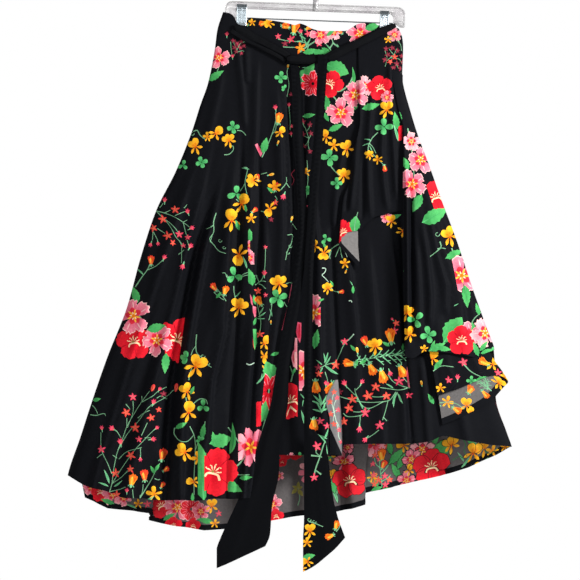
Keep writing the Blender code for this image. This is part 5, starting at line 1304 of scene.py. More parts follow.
def print_back():
    """The hem's flowers where they show inside, and the same cloth's run of blooms over the rest."""
    o = Print(22.0)
    FINE[0] = 0.4
    spot = 0
    kinds = ("pink", "pansy", "clover", "red", "leaf", "bell", "carnation", "bloomlet", "pansy1", "pale", "leaf",
             "fringed", "bloomlet", "clover", "ember", "pansy2", "broad", "clover")
    sizes = {"pink": 14, "red": 16, "carnation": 14, "fringed": 14, "pale": 11, "leaf": 9, "broad": 12, "clover": 7.5,
             "pansy": 9.5, "pansy1": 9, "pansy2": 9, "bloomlet": 6, "bell": 7.5, "ember": 7.5, "star": 4.6}
    for row in range(14):
        z = -70 - 66.0 * row
        drop = -z
        half = 150 + 0.36 * drop
        count = int(half * 2 / 98)
        for k in range(count):
            h = math.sin(row * 91.7 + k * 37.3) * 437.58
            h -= math.floor(h)
            x = (k + 0.5 + 0.32 * (2 * h - 1) + 0.25 * (row % 2)) / count * half * 2 - half - 10 - 0.02 * drop
            zz = z + 40 * (math.modf(h * 17.3)[0] - 0.5)
            kind = kinds[int(h * 997 + spot) % len(kinds)]
            spot += 1
            c, r = x / 2 + 317, -zz / 2 + 16
            turn = 360 * math.modf(h * 53.1)[0]
            size = sizes[kind]
            if kind in ("star",):
                heads = [(c + 13 * math.cos(a + h * 6), r + 11 * math.sin(a + h * 6), 3.8, 40 * a) for a in
                         (0.2, 1.1, 2.0, 2.9, 3.7, 4.6, 5.5)]
                star_spray(o, (c, r), heads)
                lay(o, [("slim", c, r + 5, 6, turn)])
                continue
            a = math.radians(turn)
            stem(o, [(c - size * 1.5 * math.cos(a), r - size * 1.5 * math.sin(a)), (c - 4, r + 3), (c, r)], 0.6)
            lay(o, [("leaf", c - size * 1.3 * math.cos(a), r - size * 1.3 * math.sin(a), 7.5, -turn + 70),
                    (kind, c, r, size, turn)])
    shift = lambda rows: [(k, c + float(back_flat((c - 317) * 2, -(r - 16) * 2) - (c - 317) * 2) / 2, r, *more)
                          for k, c, r, *more in rows]
    o.least, FINE[0] = 0.8, 0.7
    # left hem, seen inside
    lay(o, shift([("pink", 90, 489, 9, 0), ("red", 99, 494, 10, 0), ("pink", 112, 496, 11, 0), ("pink", 122, 500, 8, 40),
                  ("leaf", 106, 503, 7, 70), ("bloomlet", 137, 506, 5, 0), ("star", 146, 506, 4.4, 0), ("slim", 130, 508, 6, 60),
                  ("red", 160, 508, 13, 20), ("pink", 176, 510, 13, 0), ("carnation", 190, 512, 12, 0), ("leaf", 168, 519, 7, -60),
                  ("pink", 200, 514, 9, 0), ("pansy", 211, 508, 8, 0), ("star", 218, 516, 4, 0),
                  ("leaf", 204, 523, 8, 80), ("red", 172, 528, 9, 0), ("red", 192, 529, 8, 0), ("bloomlet", 214, 526, 5, 0)]))
    # between the tie ends
    stem(o, [(298 + 13, 508), (300 + 13, 500), (298 + 13, 490)], 0.5)
    lay(o, shift([("pink", 272, 507, 10, 0), ("red", 276, 519, 8, 0), ("red", 282, 464, 5, 0), ("pink", 279, 478, 4.6, 20)]))
    for a, l in ((80, 7), (150, 6), (215, 8), (300, 8.6), (20, 5)):
        o.add(Place(298 + 13, 491, l, a)(blade(0, 0.05, 1.0, 0.26, 0.1)), "olive")
    # right of the right tie end
    o.outlined, FINE[0] = True, 0.7
    lay(o, shift([("pink", 348, 449, 7, 0), ("pink", 345, 464, 11, 20), ("pansy2", 334, 478, 8, 0), ("slim", 336, 495, 11, 12),
                  ("slim", 339, 488, 9, -10), ("leaf", 334, 488, 8, 10), ("red", 350.5, 483, 17.5, 10)]))
    # right hem, seen inside
    o.outlined = False
    for run in ([(383, 490), (382, 482), (380, 472), (378, 462), (376, 452)], [(381, 476), (386, 470), (390, 463)],
                [(380, 470), (375, 466), (373, 460)], [(382, 484), (388, 480), (391, 477)], [(381, 480), (375, 478)]):
        stem(o, [(c + 35, r) for c, r in run], 0.42, 0.3, "green_pale")
    heads_only(o, [(c + 35, r, size, 0, kind) for c, r, size, kind in
                   ((374, 449, 4, "star"), (379, 452, 4, "red"), (373, 457, 4, "red"), (378, 461, 4, "star"), (384, 448, 4, "red"),
                    (372, 466, 3.6, "star"), (374, 477, 4.2, "star"), (379, 482, 4.4, "red"), (385, 478, 4.2, "star"),
                    (390, 482, 4.4, "red"), (386, 487, 4.2, "star"), (375, 486, 4.2, "red"))])
    o.outlined = True
    lay(o, shift([("leaf", 391, 449, 8, 20), ("leaf", 398, 458, 11, -40), ("leaf", 397, 473, 9, 35), ("leaf", 403, 463, 9, -20),
                  ("leaf", 378, 491, 6, -70), ("leaf", 388, 492, 6, -80), ("bell", 383, 459, 8.6, 10), ("ember", 384, 468, 6.4, -20),
                  ("pansy", 405, 447, 8.4, 60), ("pale", 423, 452, 13, 0), ("pink", 413, 461, 10, 30), ("pink", 408, 483, 9.4, 0),
                  ("pansy1", 411, 472, 6.4, 0), ("wideleaf", 442, 453, 12.5, -12), ("red", 433, 469, 19, 8),
                  ("pansy2", 453, 446, 10, 20), ("pansy", 475, 454, 11.4, -10), ("slim", 468, 464, 7, -40),
                  ("slim", 463, 458, 6, 30), ("bloomlet", 494, 452, 6.4, 0), ("slim", 486, 463, 6, -60), ("bloomlet", 506, 448, 5, 0)]))
    o.outlined = False
    for run in ([(459, 440), (463, 446), (462, 452), (466, 458)], [(483, 452), (489, 455), (495, 449)], [(452, 462), (458, 458), (463, 460)]):
        stem(o, [(c + 35, r) for c, r in run], 0.42, 0.3, "green_dark")
    FINE[0] = 1.0
    return o


def print_tail():
    o = Print()
    stem(o, [(318, 446), (316, 452), (322, 457)], 0.5)
    stem(o, [(313.5, 477), (316, 467), (320, 456), (323, 446), (326, 438)], 0.65, 0.5)
    stem(o, [(320, 456), (311, 455)], 0.5, 0.8)
    stem(o, [(316, 470), (321, 474)], 0.5, 0.8)
    lay(o, [("slim", 324, 438, 9, 35), ("slim", 328, 446, 8, -5), ("slim", 322, 431, 6, 75), ("star", 317, 446, 5.4, 10),
            ("star", 314, 477, 4.8, 0), ("star", 321, 421, 4.4, 0), ("star", 328, 427, 4.0, 0),
            ("bell", 313, 422, 7.5, 180)])
    tendril(o, [(309, 521), (313, 522), (318, 524), (323, 526)], [(310, 519, 2.0), (315, 521, 2.0)])
    lay(o, [("pansy", 310, 530, 8, 0), ("bloomlet", 307, 542, 5.6, 0), ("broad", 309, 556, 6.5, -80),
            ("pansy1", 307, 561, 6.5, 90), ("bloomlet", 302, 568, 5, 0), ("bell", 336, 526, 6.5, -20),
            ("bell", 331, 535, 6.5, 110), ("ybud", 341, 522, 3.4, -30)])
    stem(o, [(336, 531), (339, 527), (341, 522)], 0.5)
    return o


def print_turned():
    o = Print()
    star_spray(o, (334, 412), [(334, 392, 3.4, 0, "red"), (330, 402, 3.6, 0, "red"), (337, 398, 3.2, 0),
                               (331, 414, 3.4, 0, "red"), (338, 410, 3.2, 0), (334, 424, 3.4, 0, "red"),
                               (339, 430, 3.2, 0), (341, 442, 3.0, 0)], "stem_pale")
    # painted shadow: this black patch on the turned piece's lower corner stands for the black cloth beneath, where it
    # lies in the shade of the fold
    o.add(grid([(329, 425), (343, 456.5), (343, 458), (329, 458)]), "black")
    return o


# ================================================================ meshing
def hexes(outline, cell):
    low, high = outline.min(0), outline.max(0)
    rows = int((high[1] - low[1]) / (cell * 0.87)) + 1
    out = []
    for k in range(rows):
        xs = np.arange(low[0] + (cell / 2 if k % 2 else 0), high[0], cell)
        out.append(np.stack([xs, np.full(len(xs), low[1] + k * cell * 0.87 + 0.37)], -1))
    pts = np.concatenate(out)
    return pts[inside(pts, outline)]


def clear_of(points, outline, gap):
    keep = np.ones(len(points), bool)
    closed = np.concatenate([outline, outline[:1]])
    for (x0, z0), (x1, z1) in zip(closed, closed[1:]):
        d = np.array([x1 - x0, z1 - z0])
        size = max(float(d @ d), 1e-9)
        t = np.clip(((points[:, 0] - x0) * d[0] + (points[:, 1] - z0) * d[1]) / size, 0, 1)
        off = np.hypot(points[:, 0] - x0 - t * d[0], points[:, 1] - z0 - t * d[1])
        keep &= off > gap
    return points[keep]


def beside(run, offsets, step=8.0):
    """Extra points just inside a side edge, where the cloth turns fastest."""
    return [(x + o, z) for x, z in run[::1] for o in offsets]


def band_quads(run, height):
    """The turned-up strip along a hem, in pieces that all run anticlockwise."""
    low = np.array(run, float)
    way = np.gradient(low, axis=0)
    way /= np.maximum(np.hypot(way[:, 0], way[:, 1]), 1e-9)[:, None]
    up = np.stack([-way[:, 1], way[:, 0]], -1)
    a, b = low - up * 2.0, low + up * height
    out = []
    for k in range(len(low) - 1):
        for piece in (np.array([a[k], a[k + 1], b[k + 1]]), np.array([a[k], b[k + 1], b[k]])):
            (x0, z0), (x1, z1), (x2, z2) = piece
            turn = (x1 - x0) * (z2 - z0) - (x2 - x0) * (z1 - z0)
            if abs(turn) > 0.05:
                out.append(piece if turn > 0 else piece[::-1])
    return out


BUILT = {}
INK_GAIN = 1.0
WRONG_MIX = 0.93


def panel(name, outline, surface, ink_list, bands=(), out=1, cell=8.0, half=0.45, extra=(), edge=5.5,
          ground=BLACK, wrong=GREY, dark_in=False, eps=1.0):
    outline = resample(outline, edge)
    n_out = len(outline)
    shapes = [s for s in (ink_list.shapes if ink_list else [])]
    low, high = outline.min(0) - 2, outline.max(0) + 2
    kept = []
    if shapes:
        within = inside(np.concatenate([s[0] for s in shapes]), outline)
        ends = np.cumsum([len(s[0]) for s in shapes])
        hearts = inside(np.array([s[0].mean(0) for s in shapes]), outline)
        kept = [s for s, a, b, h in zip(shapes, np.concatenate([[0], ends[:-1]]), ends, hearts) if h or within[a:b].any()]
    loose = hexes(outline, cell)
    loose = clear_of(loose, outline, cell * 0.33)
    if len(extra):
        e = np.array(extra, float)
        loose = np.concatenate([loose, clear_of(e[inside(e, outline)], outline, 0.5)])
    coords = [tuple(p) for p in outline]
    lines = [(k, (k + 1) % n_out) for k in range(n_out)]
    for loop in list(bands) + [s[0] for s in kept]:
        first, count = len(coords), len(loop)
        coords += [tuple(p) for p in loop]
        lines += [(first + k, first + (k + 1) % count) for k in range(count)]
    coords += [tuple(p) for p in loose]
    v, _, f, _, _, _ = delaunay_2d_cdt([Vector(c) for c in coords], lines, [], 0, 1e-4, False)
    flat = np.array([(p[0], p[1]) for p in v], float)
    tri = np.array([(face[0], face[k], face[k + 1]) for face in f for k in range(1, len(face) - 1)])
    tri = tri[inside(flat[tri].mean(1), outline)]
    heart = flat[tri].mean(1)
    by_x = np.argsort(heart[:, 0], kind="stable")
    run_x = heart[by_x, 0]

    def covered(loop):
        a, b = np.searchsorted(run_x, [loop[:, 0].min(), loop[:, 0].max()])
        who = by_x[a:b]
        who = who[(heart[who, 1] > loop[:, 1].min()) & (heart[who, 1] < loop[:, 1].max())]
        return who[inside(heart[who], loop)]

    top, banded = np.full(len(tri), -1), np.zeros(len(tri), bool)
    for k, s in enumerate(kept):
        top[covered(s[0])] = k
    for b in bands:
        banded[covered(np.asarray(b, float))] = True
    a, b, c = flat[tri[:, 0]], flat[tri[:, 1]], flat[tri[:, 2]]
    area = (b[:, 0] - a[:, 0]) * (c[:, 1] - a[:, 1]) - (c[:, 0] - a[:, 0]) * (b[:, 1] - a[:, 1])
    tri[area < 0] = tri[area < 0][:, ::-1]
    used = np.unique(tri)
    index = np.full(len(flat), -1)
    index[used] = np.arange(len(used))
    flat, tri = flat[used], index[tri]
    n = len(flat)

    x, z = flat[:, 0], flat[:, 1]
    place = surface(x, z)
    dx = surface(x + eps, z) - surface(x - eps, z)
    dz = surface(x, z + eps) - surface(x, z - eps)
    normal = np.cross(dx, dz) * out
    normal /= np.maximum(np.linalg.norm(normal, axis=1), 1e-9)[:, None]
    outer_pts, inner_pts = place + normal * half, place - normal * half

    # edges used once make the rim
    edges = np.concatenate([tri[:, [0, 1]], tri[:, [1, 2]], tri[:, [2, 0]]])
    key = np.sort(edges, axis=1)
    code = key[:, 0].astype(np.int64) * n + key[:, 1]
    _, where, count = np.unique(code, return_index=True, return_counts=True)
    rim = edges[where[count == 1]]
    if out > 0:
        outer_tri, inner_tri = tri, tri[:, ::-1] + n
        rim_quads = np.stack([rim[:, 1], rim[:, 0], rim[:, 0] + n, rim[:, 1] + n], -1)
    else:
        outer_tri, inner_tri = tri[:, ::-1], tri + n
        rim_quads = np.stack([rim[:, 0], rim[:, 1], rim[:, 1] + n, rim[:, 0] + n], -1)
    points = np.concatenate([outer_pts, inner_pts]) * 0.001

    # inks
    t = len(tri)
    inner_c, outer_c = np.tile(ground, (len(kept) + 1, 1)), np.tile(ground, (len(kept) + 1, 1))
    middle, reach = np.zeros((len(kept) + 1, 2)), np.ones(len(kept) + 1)
    for k, s in enumerate(kept):
        inner_c[k], outer_c[k], middle[k], reach[k] = s[1], s[2], s[3], s[4]
    order = np.where(top < 0, len(kept), top)

    def inked(corner_tri, who):
        p = flat[corner_tri]                                   # t, 3, 2
        m = np.hypot(p[..., 0] - middle[who][:, None, 0], p[..., 1] - middle[who][:, None, 1]) / reach[who][:, None]
        m = smooth(np.clip(m, 0, 1))[..., None]
        return inner_c[who][:, None] * (1 - m) + outer_c[who][:, None] * m

    plain = tri if out > 0 else tri[:, ::-1]
    back_order = tri[:, ::-1] if out > 0 else tri
    right_side = inked(plain, order)
    wrong_side = inked(back_order, order)
    blank = (top < 0)[:, None, None]
    muted = np.where(blank, wrong, wrong * (1 - WRONG_MIX) + wrong_side * WRONG_MIX)
    wrong_side = np.where(banded[:, None, None] | dark_in, wrong_side, muted)
    rim_colour = np.tile(ground * 1.2, (len(rim_quads) * 4, 1))
    colours = np.concatenate([right_side.reshape(-1, 3), wrong_side.reshape(-1, 3), rim_colour])

    # normals at the corners
    rp = points[rim_quads]
    rn = np.cross(rp[:, 1] - rp[:, 0], rp[:, 2] - rp[:, 1])
    rn /= np.maximum(np.linalg.norm(rn, axis=1), 1e-12)[:, None]
    normals = np.concatenate([normal[plain].reshape(-1, 3), -normal[back_order].reshape(-1, 3),
                              np.repeat(rn, 4, axis=0)])

    mesh = bpy.data.meshes.new(name)
    loops = np.concatenate([outer_tri.reshape(-1), inner_tri.reshape(-1), rim_quads.reshape(-1)])
    totals = np.concatenate([np.full(2 * t, 3), np.full(len(rim_quads), 4)])
    starts = np.concatenate([[0], np.cumsum(totals)[:-1]])
    mesh.vertices.add(2 * n)
    mesh.vertices.foreach_set("co", points.astype(np.float32).reshape(-1))
    mesh.loops.add(len(loops))
    mesh.loops.foreach_set("vertex_index", loops.astype(np.int32))
    mesh.polygons.add(len(totals))
    mesh.polygons.foreach_set("loop_start", starts.astype(np.int32))
    mesh.polygons.foreach_set("loop_total", totals.astype(np.int32))
    mesh.update(calc_edges=True)
    mesh.validate(verbose=False)
    if len(mesh.loops) != len(loops):
        raise RuntimeError(f"{name}: the mesh lost faces")
    attribute = mesh.color_attributes.new("ink", "FLOAT_COLOR", "CORNER")
    rgba = np.concatenate([colours * INK_GAIN, np.ones((len(colours), 1))], axis=1).astype(np.float32)
    attribute.data.foreach_set("color", rgba.reshape(-1))
    mesh.shade_smooth()
    mesh.normals_split_custom_set(normals.astype(np.float32))
    obj = bpy.data.objects.new(name, mesh)
    bpy.context.scene.collection.objects.link(obj)
    shape_area = 0.5 * abs(np.sum(outline[:, 0] * np.roll(outline[:, 1], -1) - np.roll(outline[:, 0], -1) * outline[:, 1]))
    BUILT[name] = (obj, (high - low - 4) * 0.001, shape_area * 1e-6, 2 * t + len(rim_quads) * 2)
    return obj


def tube(name, centre, across_dir, half_wide, half_thick, sides=28, ripple=None):
    """A closed strand through `centre`, flattened: `across_dir` is square to its run in the cloth's plane."""
    c = np.asarray(centre, float)
    n = len(c)
    run = np.gradient(c, axis=0)
    run /= np.linalg.norm(run, axis=1)[:, None]
    out_dir = np.cross(run, across_dir)
    out_dir /= np.linalg.norm(out_dir, axis=1)[:, None]
    a = np.linspace(0, 2 * math.pi, sides, endpoint=False)
    s = np.linspace(0, 1, n)
    ca, sa = np.cos(a), np.sin(a)
    grow = np.ones((n, sides)) if ripple is None else ripple(s[:, None], a[None, :])
    pts = (c[:, None] + across_dir[:, None] * (half_wide[:, None] * ca * grow)[..., None]
           + out_dir[:, None] * (half_thick[:, None] * np.sign(sa) * np.abs(sa) ** 0.85 * grow)[..., None])
    verts = pts.reshape(-1, 3) * 0.001
    faces = []
    for k in range(n - 1):
        for j in range(sides):
            p, q = k * sides + j, k * sides + (j + 1) % sides
            faces.append((p, q, q + sides, p + sides))
    faces.append(tuple(range(sides - 1, -1, -1)))
    faces.append(tuple((n - 1) * sides + j for j in range(sides)))
    mesh = bpy.data.meshes.new(name)
    mesh.from_pydata([tuple(v) for v in verts], [], faces)
    bm = bmesh.new()
    bm.from_mesh(mesh)
    bmesh.ops.recalc_face_normals(bm, faces=bm.faces)
    bm.to_mesh(mesh)
    bm.free()
    mesh.shade_smooth()
    obj = bpy.data.objects.new(name, mesh)
    bpy.context.scene.collection.objects.link(obj)
    return obj


# ================================================================ materials
def new_material(name, base, roughness, metallic=0.0, **more):
    mat = bpy.data.materials.new(name)
    mat.use_nodes = True
    bsdf = mat.node_tree.nodes["Principled BSDF"]
    bsdf.inputs["Base Color"].default_value = (*base, 1.0)
    bsdf.inputs["Roughness"].default_value = roughness
    bsdf.inputs["Metallic"].default_value = metallic
    for key, value in more.items():
        bsdf.inputs[key.replace("_", " ")].default_value = value
    return mat, bsdf


def weave_bump(mat, bsdf, scale, distance, cloudy=0.0):
    """A crepe's pebbled weave, as a bump; the faint unevenness in its colour is added by the materials that call it."""
    nodes, links = mat.node_tree.nodes, mat.node_tree.links
    where = nodes.new("ShaderNodeTexCoord")
    grain = nodes.new("ShaderNodeTexNoise")
    grain.inputs["Scale"].default_value = scale
    grain.inputs["Detail"].default_value = 3.0
    grain.inputs["Roughness"].default_value = 0.65
    soft = nodes.new("ShaderNodeTexNoise")
    soft.inputs["Scale"].default_value = 22.0
    soft.inputs["Detail"].default_value = 2.0
    total = nodes.new("ShaderNodeMath")
    total.operation = "MULTIPLY_ADD"
    total.inputs[1].default_value = 2.2
    bump = nodes.new("ShaderNodeBump")
    bump.inputs["Distance"].default_value = distance
    bump.inputs["Strength"].default_value = 0.55
    links.new(where.outputs["Object"], grain.inputs["Vector"])
    links.new(where.outputs["Object"], soft.inputs["Vector"])
    links.new(soft.outputs["Fac"], total.inputs[0])
    links.new(grain.outputs["Fac"], total.inputs[2])
    links.new(total.outputs[0], bump.inputs["Height"])
    links.new(bump.outputs["Normal"], bsdf.inputs["Normal"])
    return where


def cloth_material(name, roughness=0.66):
    mat, bsdf = new_material(name, (0.01, 0.01, 0.012), roughness)
    nodes, links = mat.node_tree.nodes, mat.node_tree.links
    bsdf.inputs["Specular IOR Level"].default_value = 0.05
    where = weave_bump(mat, bsdf, 900.0, 0.00030)
    inks = nodes.new("ShaderNodeVertexColor")
    inks.layer_name = "ink"
    fade = nodes.new("ShaderNodeTexNoise")
    fade.inputs["Scale"].default_value = 260.0
    fade.inputs["Detail"].default_value = 4.0
    span = nodes.new("ShaderNodeMapRange")
    span.inputs["From Min"].default_value = 0.3
    span.inputs["From Max"].default_value = 0.7
    span.inputs["To Min"].default_value = 0.88
    span.inputs["To Max"].default_value = 1.10
    tone = nodes.new("ShaderNodeMix")
    tone.data_type, tone.blend_type = "RGBA", "MULTIPLY"
    tone.inputs["Factor"].default_value = 1.0
    links.new(where.outputs["Object"], fade.inputs["Vector"])
    links.new(fade.outputs["Fac"], span.inputs["Value"])
    links.new(inks.outputs["Color"], tone.inputs["A"])
    links.new(span.outputs["Result"], tone.inputs["B"])
    links.new(tone.outputs["Result"], bsdf.inputs["Base Color"])
    return mat


def tinted(name, base, roughness, spread=0.12, bump=(700.0, 0.0003), spec=0.07):
    mat, bsdf = new_material(name, base, roughness)
    bsdf.inputs["Specular IOR Level"].default_value = spec
    nodes, links = mat.node_tree.nodes, mat.node_tree.links
    where = weave_bump(mat, bsdf, *bump)
    fade = nodes.new("ShaderNodeTexNoise")
    fade.inputs["Scale"].default_value = 90.0
    fade.inputs["Detail"].default_value = 5.0
    ramp = nodes.new("ShaderNodeValToRGB")
    ramp.color_ramp.elements[0].position, ramp.color_ramp.elements[1].position = 0.3, 0.7
    ramp.color_ramp.elements[0].color = (*[c * (1 - spread) for c in base], 1)
    ramp.color_ramp.elements[1].color = (*[c * (1 + spread) for c in base], 1)
    links.new(where.outputs["Object"], fade.inputs["Vector"])
    links.new(fade.outputs["Fac"], ramp.inputs["Fac"])
    links.new(ramp.outputs["Color"], bsdf.inputs["Base Color"])
    return mat


CLOTH = cloth_material("printed_crepe")
SASH = tinted("plain_crepe", tuple(ink(7, 8, 11)), 0.6, 0.2)


def metal_material():
    mat, bsdf = new_material("plated_steel", (0.27, 0.31, 0.335), 0.40, 1.0)
    nodes, links = mat.node_tree.nodes, mat.node_tree.links
    where = nodes.new("ShaderNodeTexCoord")
    span = nodes.new("ShaderNodeMapping")
    span.inputs["Scale"].default_value = (900.0, 900.0, 60.0)
    grain = nodes.new("ShaderNodeTexNoise")
    grain.inputs["Scale"].default_value = 1.0
    grain.inputs["Detail"].default_value = 3.0
    level = nodes.new("ShaderNodeMapRange")
    level.inputs["To Min"].default_value, level.inputs["To Max"].default_value = 0.16, 0.36
    links.new(where.outputs["Object"], span.inputs["Vector"])
    links.new(span.outputs["Vector"], grain.inputs["Vector"])
    links.new(grain.outputs["Fac"], level.inputs["Value"])
    links.new(level.outputs["Result"], bsdf.inputs["Roughness"])
    return mat


def plastic_material():
    mat, bsdf = new_material("clear_moulding", (0.90, 0.885, 0.885), 0.10)
    bsdf.inputs["Transmission Weight"].default_value = 0.70
    bsdf.inputs["IOR"].default_value = 1.46
    nodes, links = mat.node_tree.nodes, mat.node_tree.links
    where = nodes.new("ShaderNodeTexCoord")
    flow = nodes.new("ShaderNodeTexNoise")
    flow.inputs["Scale"].default_value = 34.0
    flow.inputs["Detail"].default_value = 3.0
    bump = nodes.new("ShaderNodeBump")
    bump.inputs["Distance"].default_value = 0.0012
    bump.inputs["Strength"].default_value = 0.35
    tint = nodes.new("ShaderNodeValToRGB")
    tint.color_ramp.elements[0].position, tint.color_ramp.elements[1].position = 0.35, 0.65
    tint.color_ramp.elements[0].color = (0.80, 0.79, 0.79, 1)
    tint.color_ramp.elements[1].color = (0.66, 0.63, 0.65, 1)
    links.new(where.outputs["Object"], flow.inputs["Vector"])
    links.new(flow.outputs["Fac"], bump.inputs["Height"])
    links.new(bump.outputs["Normal"], bsdf.inputs["Normal"])
    links.new(flow.outputs["Fac"], tint.inputs["Fac"])
    links.new(tint.outputs["Color"], bsdf.inputs["Base Color"])
    return mat


METAL, PLASTIC = metal_material(), plastic_material()

# ================================================================ the panels
HEM_IN = 11.0
left_edge, right_edge = side_run(LEFT_SIDE, down(-8, 915)), side_run(RIGHT_SIDE, down(30, 862))

front_outer = panel("skirt_front_outer", outer_outline, outer_surface, print_outer(),
                    band_quads(outer_hem, HEM_IN), extra=beside(left_edge, (1.5, 3.5, 6.0)) + along_creases(OUTER_CREASES))
front_under = panel("skirt_front_inner", under_outline, under_surface, print_under(),
                    band_quads(under_hem, HEM_IN), extra=beside(side_run(UNDER_RIGHT, down(30, 860)), (-1.5, -4.0)) + along_creases(UNDER_CREASES))
front_drape = panel("skirt_front_drape", drape_outline, drape_surface, print_drape(),
                    band_quads(far_hem[:-1] + drape_hem, 8.0), cell=6.5, edge=4.0, wrong=ink(124, 121, 119),
                    extra=[(float(along(DRAPE_LEFT, d)) + o, -float(d)) for d in down(66, 456, 5)
                           for o in (-4, -2.5, -1.2, 0, 1.2, 2.5, 4)] + along_creases(DRAPE_CREASES, 7.0))
side_flounce = panel("skirt_side_flounce", side_outline, side_surface, print_side(),
                     band_quads(side_hem, 8.0), cell=6.5, extra=beside(side_run(RIGHT_SIDE, down(120, 665)), (-1.5, -3.5, -6)) + along_creases(SIDE_CREASES, 7.0))
tier_hem = tier_near_hem + tier_far_hem
side_tier = panel("skirt_side_tier", tier_outline, tier_surface, print_tier(), band_quads(tier_hem, 13.0),
                  cell=6.0, edge=4.0, wrong=ink(98, 95, 94),
                  extra=[(float(along(TIER_EDGE, d)) + o, -float(d)) for d in down(664, 742, 4)
                         for o in (-7, -4.5, -2.2, 0, 2.2, 4.5, 7)])
back_panel = panel("skirt_back", back_outline, back_surface, print_back(), band_quads(back_hem, HEM_IN), out=-1, cell=10.5, wrong=ink(88, 84, 84),
                   extra=beside(left_edge, (1.5, 3.5, 6.0))
                   + [(float(back_flat(along(RIGHT_SIDE, d) - 1.0, -d)) - o, -float(d)) for d in down(40, 860)
                      for o in (1.5, 3.5, 6.0)]
                   + [(float(f) + o, -float(d)) for d in down(500, 1000, 8)
                      for f in (back_folds(np.array(-float(d)))[0],
                                back_folds(np.array(-float(d)))[0] + back_folds(np.array(-float(d)))[1],
                                back_folds(np.array(-float(d)))[2] + 2 * back_folds(np.array(-float(d)))[1],
                                back_folds(np.array(-float(d)))[2] + 2 * back_folds(np.array(-float(d)))[1]
                                + back_folds(np.array(-float(d)))[3])
                      for o in (-5, -2.5, 0, 2.5, 5)])
turned_edge = panel("skirt_turned_edge", turned_outline, turned_surface, print_turned(), (), cell=5.0, edge=4.0, ground=GREY)

# ================================================================ the tie
TailRow = namedtuple("TailRow", "drop left right y")
TAIL_LEFT = [TailRow(86, -53, -38, -13.8), TailRow(150, -50, -31, -16.5), TailRow(238, -48, -28, -21.5),
             TailRow(330, -41, -23, -27), TailRow(416, -37, -19, -32.5), TailRow(538, -50, -30, -39.5),
             TailRow(632, -70, -44, -45), TailRow(710, -82, -56, -49), TailRow(772, -92, -58, -52.5),
             TailRow(848, -116, -74, -57), TailRow(912, -134, -76, -60.5), TailRow(980, -164, -90, -64),
             TailRow(1036, -190, -94, -66), TailRow(1060, -200, -104, -67)]
TAIL_LEFT_TIP = [(0, 1102), (0.2, 1094), (0.6, 1076), (1, 1058)]
TAIL_RIGHT = [TailRow(76, 2, 22, -26.6), TailRow(108, 1, 20, -26), TailRow(150, -1, 17, -25),
              TailRow(238, -6, 12, -28), TailRow(304, -12, 6, -31.5), TailRow(420, -20, -2, -37.5),
              TailRow(528, -26, -8, -43.5), TailRow(640, -26, -9, -46.5), TailRow(738, -26, -10, -48),
              TailRow(826, -26, -6, -48.5), TailRow(850, -26, 17, -48.5), TailRow(898, -26, 24, -49),
              TailRow(962, -26, 32, -49.5), TailRow(1000, -26, 41, -50), TailRow(1042, -28, 56, -50.5)]
TAIL_RIGHT_TIP = [(0, 1110), (0.12, 1106), (0.32, 1096), (0.6, 1076), (0.77, 1064), (1, 1042)]


def tail_parts(rows, tip, top, creases, seed):
    drops = [r.drop for r in rows]
    lefts, rights, ys = [r.left for r in rows], [r.right for r in rows], [r.y for r in rows]

    def surface(x, z):
        drop = -z
        l, r = hermite(drops, lefts, drop), hermite(drops, rights, drop)
        u = np.clip((x - l) / (r - l), -0.1, 1.1)
        y = hermite(drops, ys, drop)
        bow = 1.6 * np.sin(np.clip(u, 0, 1) * math.pi) * smooth((drop - top) / 200)
        bow = bow + 0.5 * np.sin(3.1 * u * math.pi + drop / 90.0 + seed) * smooth((drop - top) / 120)
        for c in creases:
            bow = bow + c[0] * np.exp(-((u - c[1] - c[2] * (drop - 500) / 500) / c[3]) ** 2)
        return np.stack([x, y - bow, z], axis=-1)

    last_l, last_r = tip[0][1], tip[-1][1]
    left_run = [(float(hermite(drops, lefts, d)), -float(d)) for d in down(top, last_l)]
    right_run = [(float(hermite(drops, rights, d)), -float(d)) for d in down(top, last_r)]
    xl, xr = left_run[-1][0], right_run[-1][0]
    low_run = [(xl + (xr - xl) * u, -float(np.interp(u, [t[0] for t in tip], [t[1] for t in tip])))
               for u in np.linspace(0, 1, 12)]
    top_run = [(left_run[0][0] + (right_run[0][0] - left_run[0][0]) * u, -float(top)) for u in np.linspace(0, 1, 4)]
    return ring_of(left_run, low_run, right_run, top_run), surface


tail_left_outline, tail_left_surface = tail_parts(TAIL_LEFT, TAIL_LEFT_TIP, 86.0, [(0.8, 0.3, 0.05, 0.09)], 0.3)
tail_right_outline, tail_right_surface = tail_parts(TAIL_RIGHT, TAIL_RIGHT_TIP, 76.0, [(0.7, 0.62, -0.1, 0.09)], 1.9)
tail_left = panel("tie_end_left", tail_left_outline, tail_left_surface, Print(), (), cell=5.0, edge=4.0, half=0.9,
                  ground=TIE_BLACK, dark_in=True)
tail_right = panel("tie_end_right", tail_right_outline, tail_right_surface, print_tail(), (), cell=5.0, edge=4.0,
                   half=0.9, ground=TIE_BLACK, dark_in=True)

Strand = namedtuple("Strand", "x drop half_width half_thick")
BAND = [Strand(-164, 18, 4.5, 1.4), Strand(-158, 23, 7.0, 1.8), Strand(-132, 39, 7.4, 1.9), Strand(-104, 52, 7.0, 1.9),
        Strand(-76, 67, 6.6, 2.0), Strand(-57, 79, 5.6, 1.8)]
RIGHT_STRETCH = [Strand(20, 82, 6.6, 1.9), Strand(42, 72, 8.2, 2.0), Strand(70, 59, 8.4, 2.0), Strand(98, 45, 8.6, 2.0),
                 Strand(126, 31, 8.4, 1.9), Strand(150, 20, 6.2, 1.6), Strand(158, 17, 3.4, 1.2)]
KNOT = [Strand(-60, 84, 5.0, 2.0), Strand(-52, 85, 8.4, 3.0), Strand(-30, 86, 9.2, 3.2), Strand(-6, 85, 8.8, 3.2),
        Strand(12, 84, 8.6, 3.0), Strand(19, 83, 6.0, 2.2)]
TIE_STANDS, TIE_GROWS = 9.6, 50.0


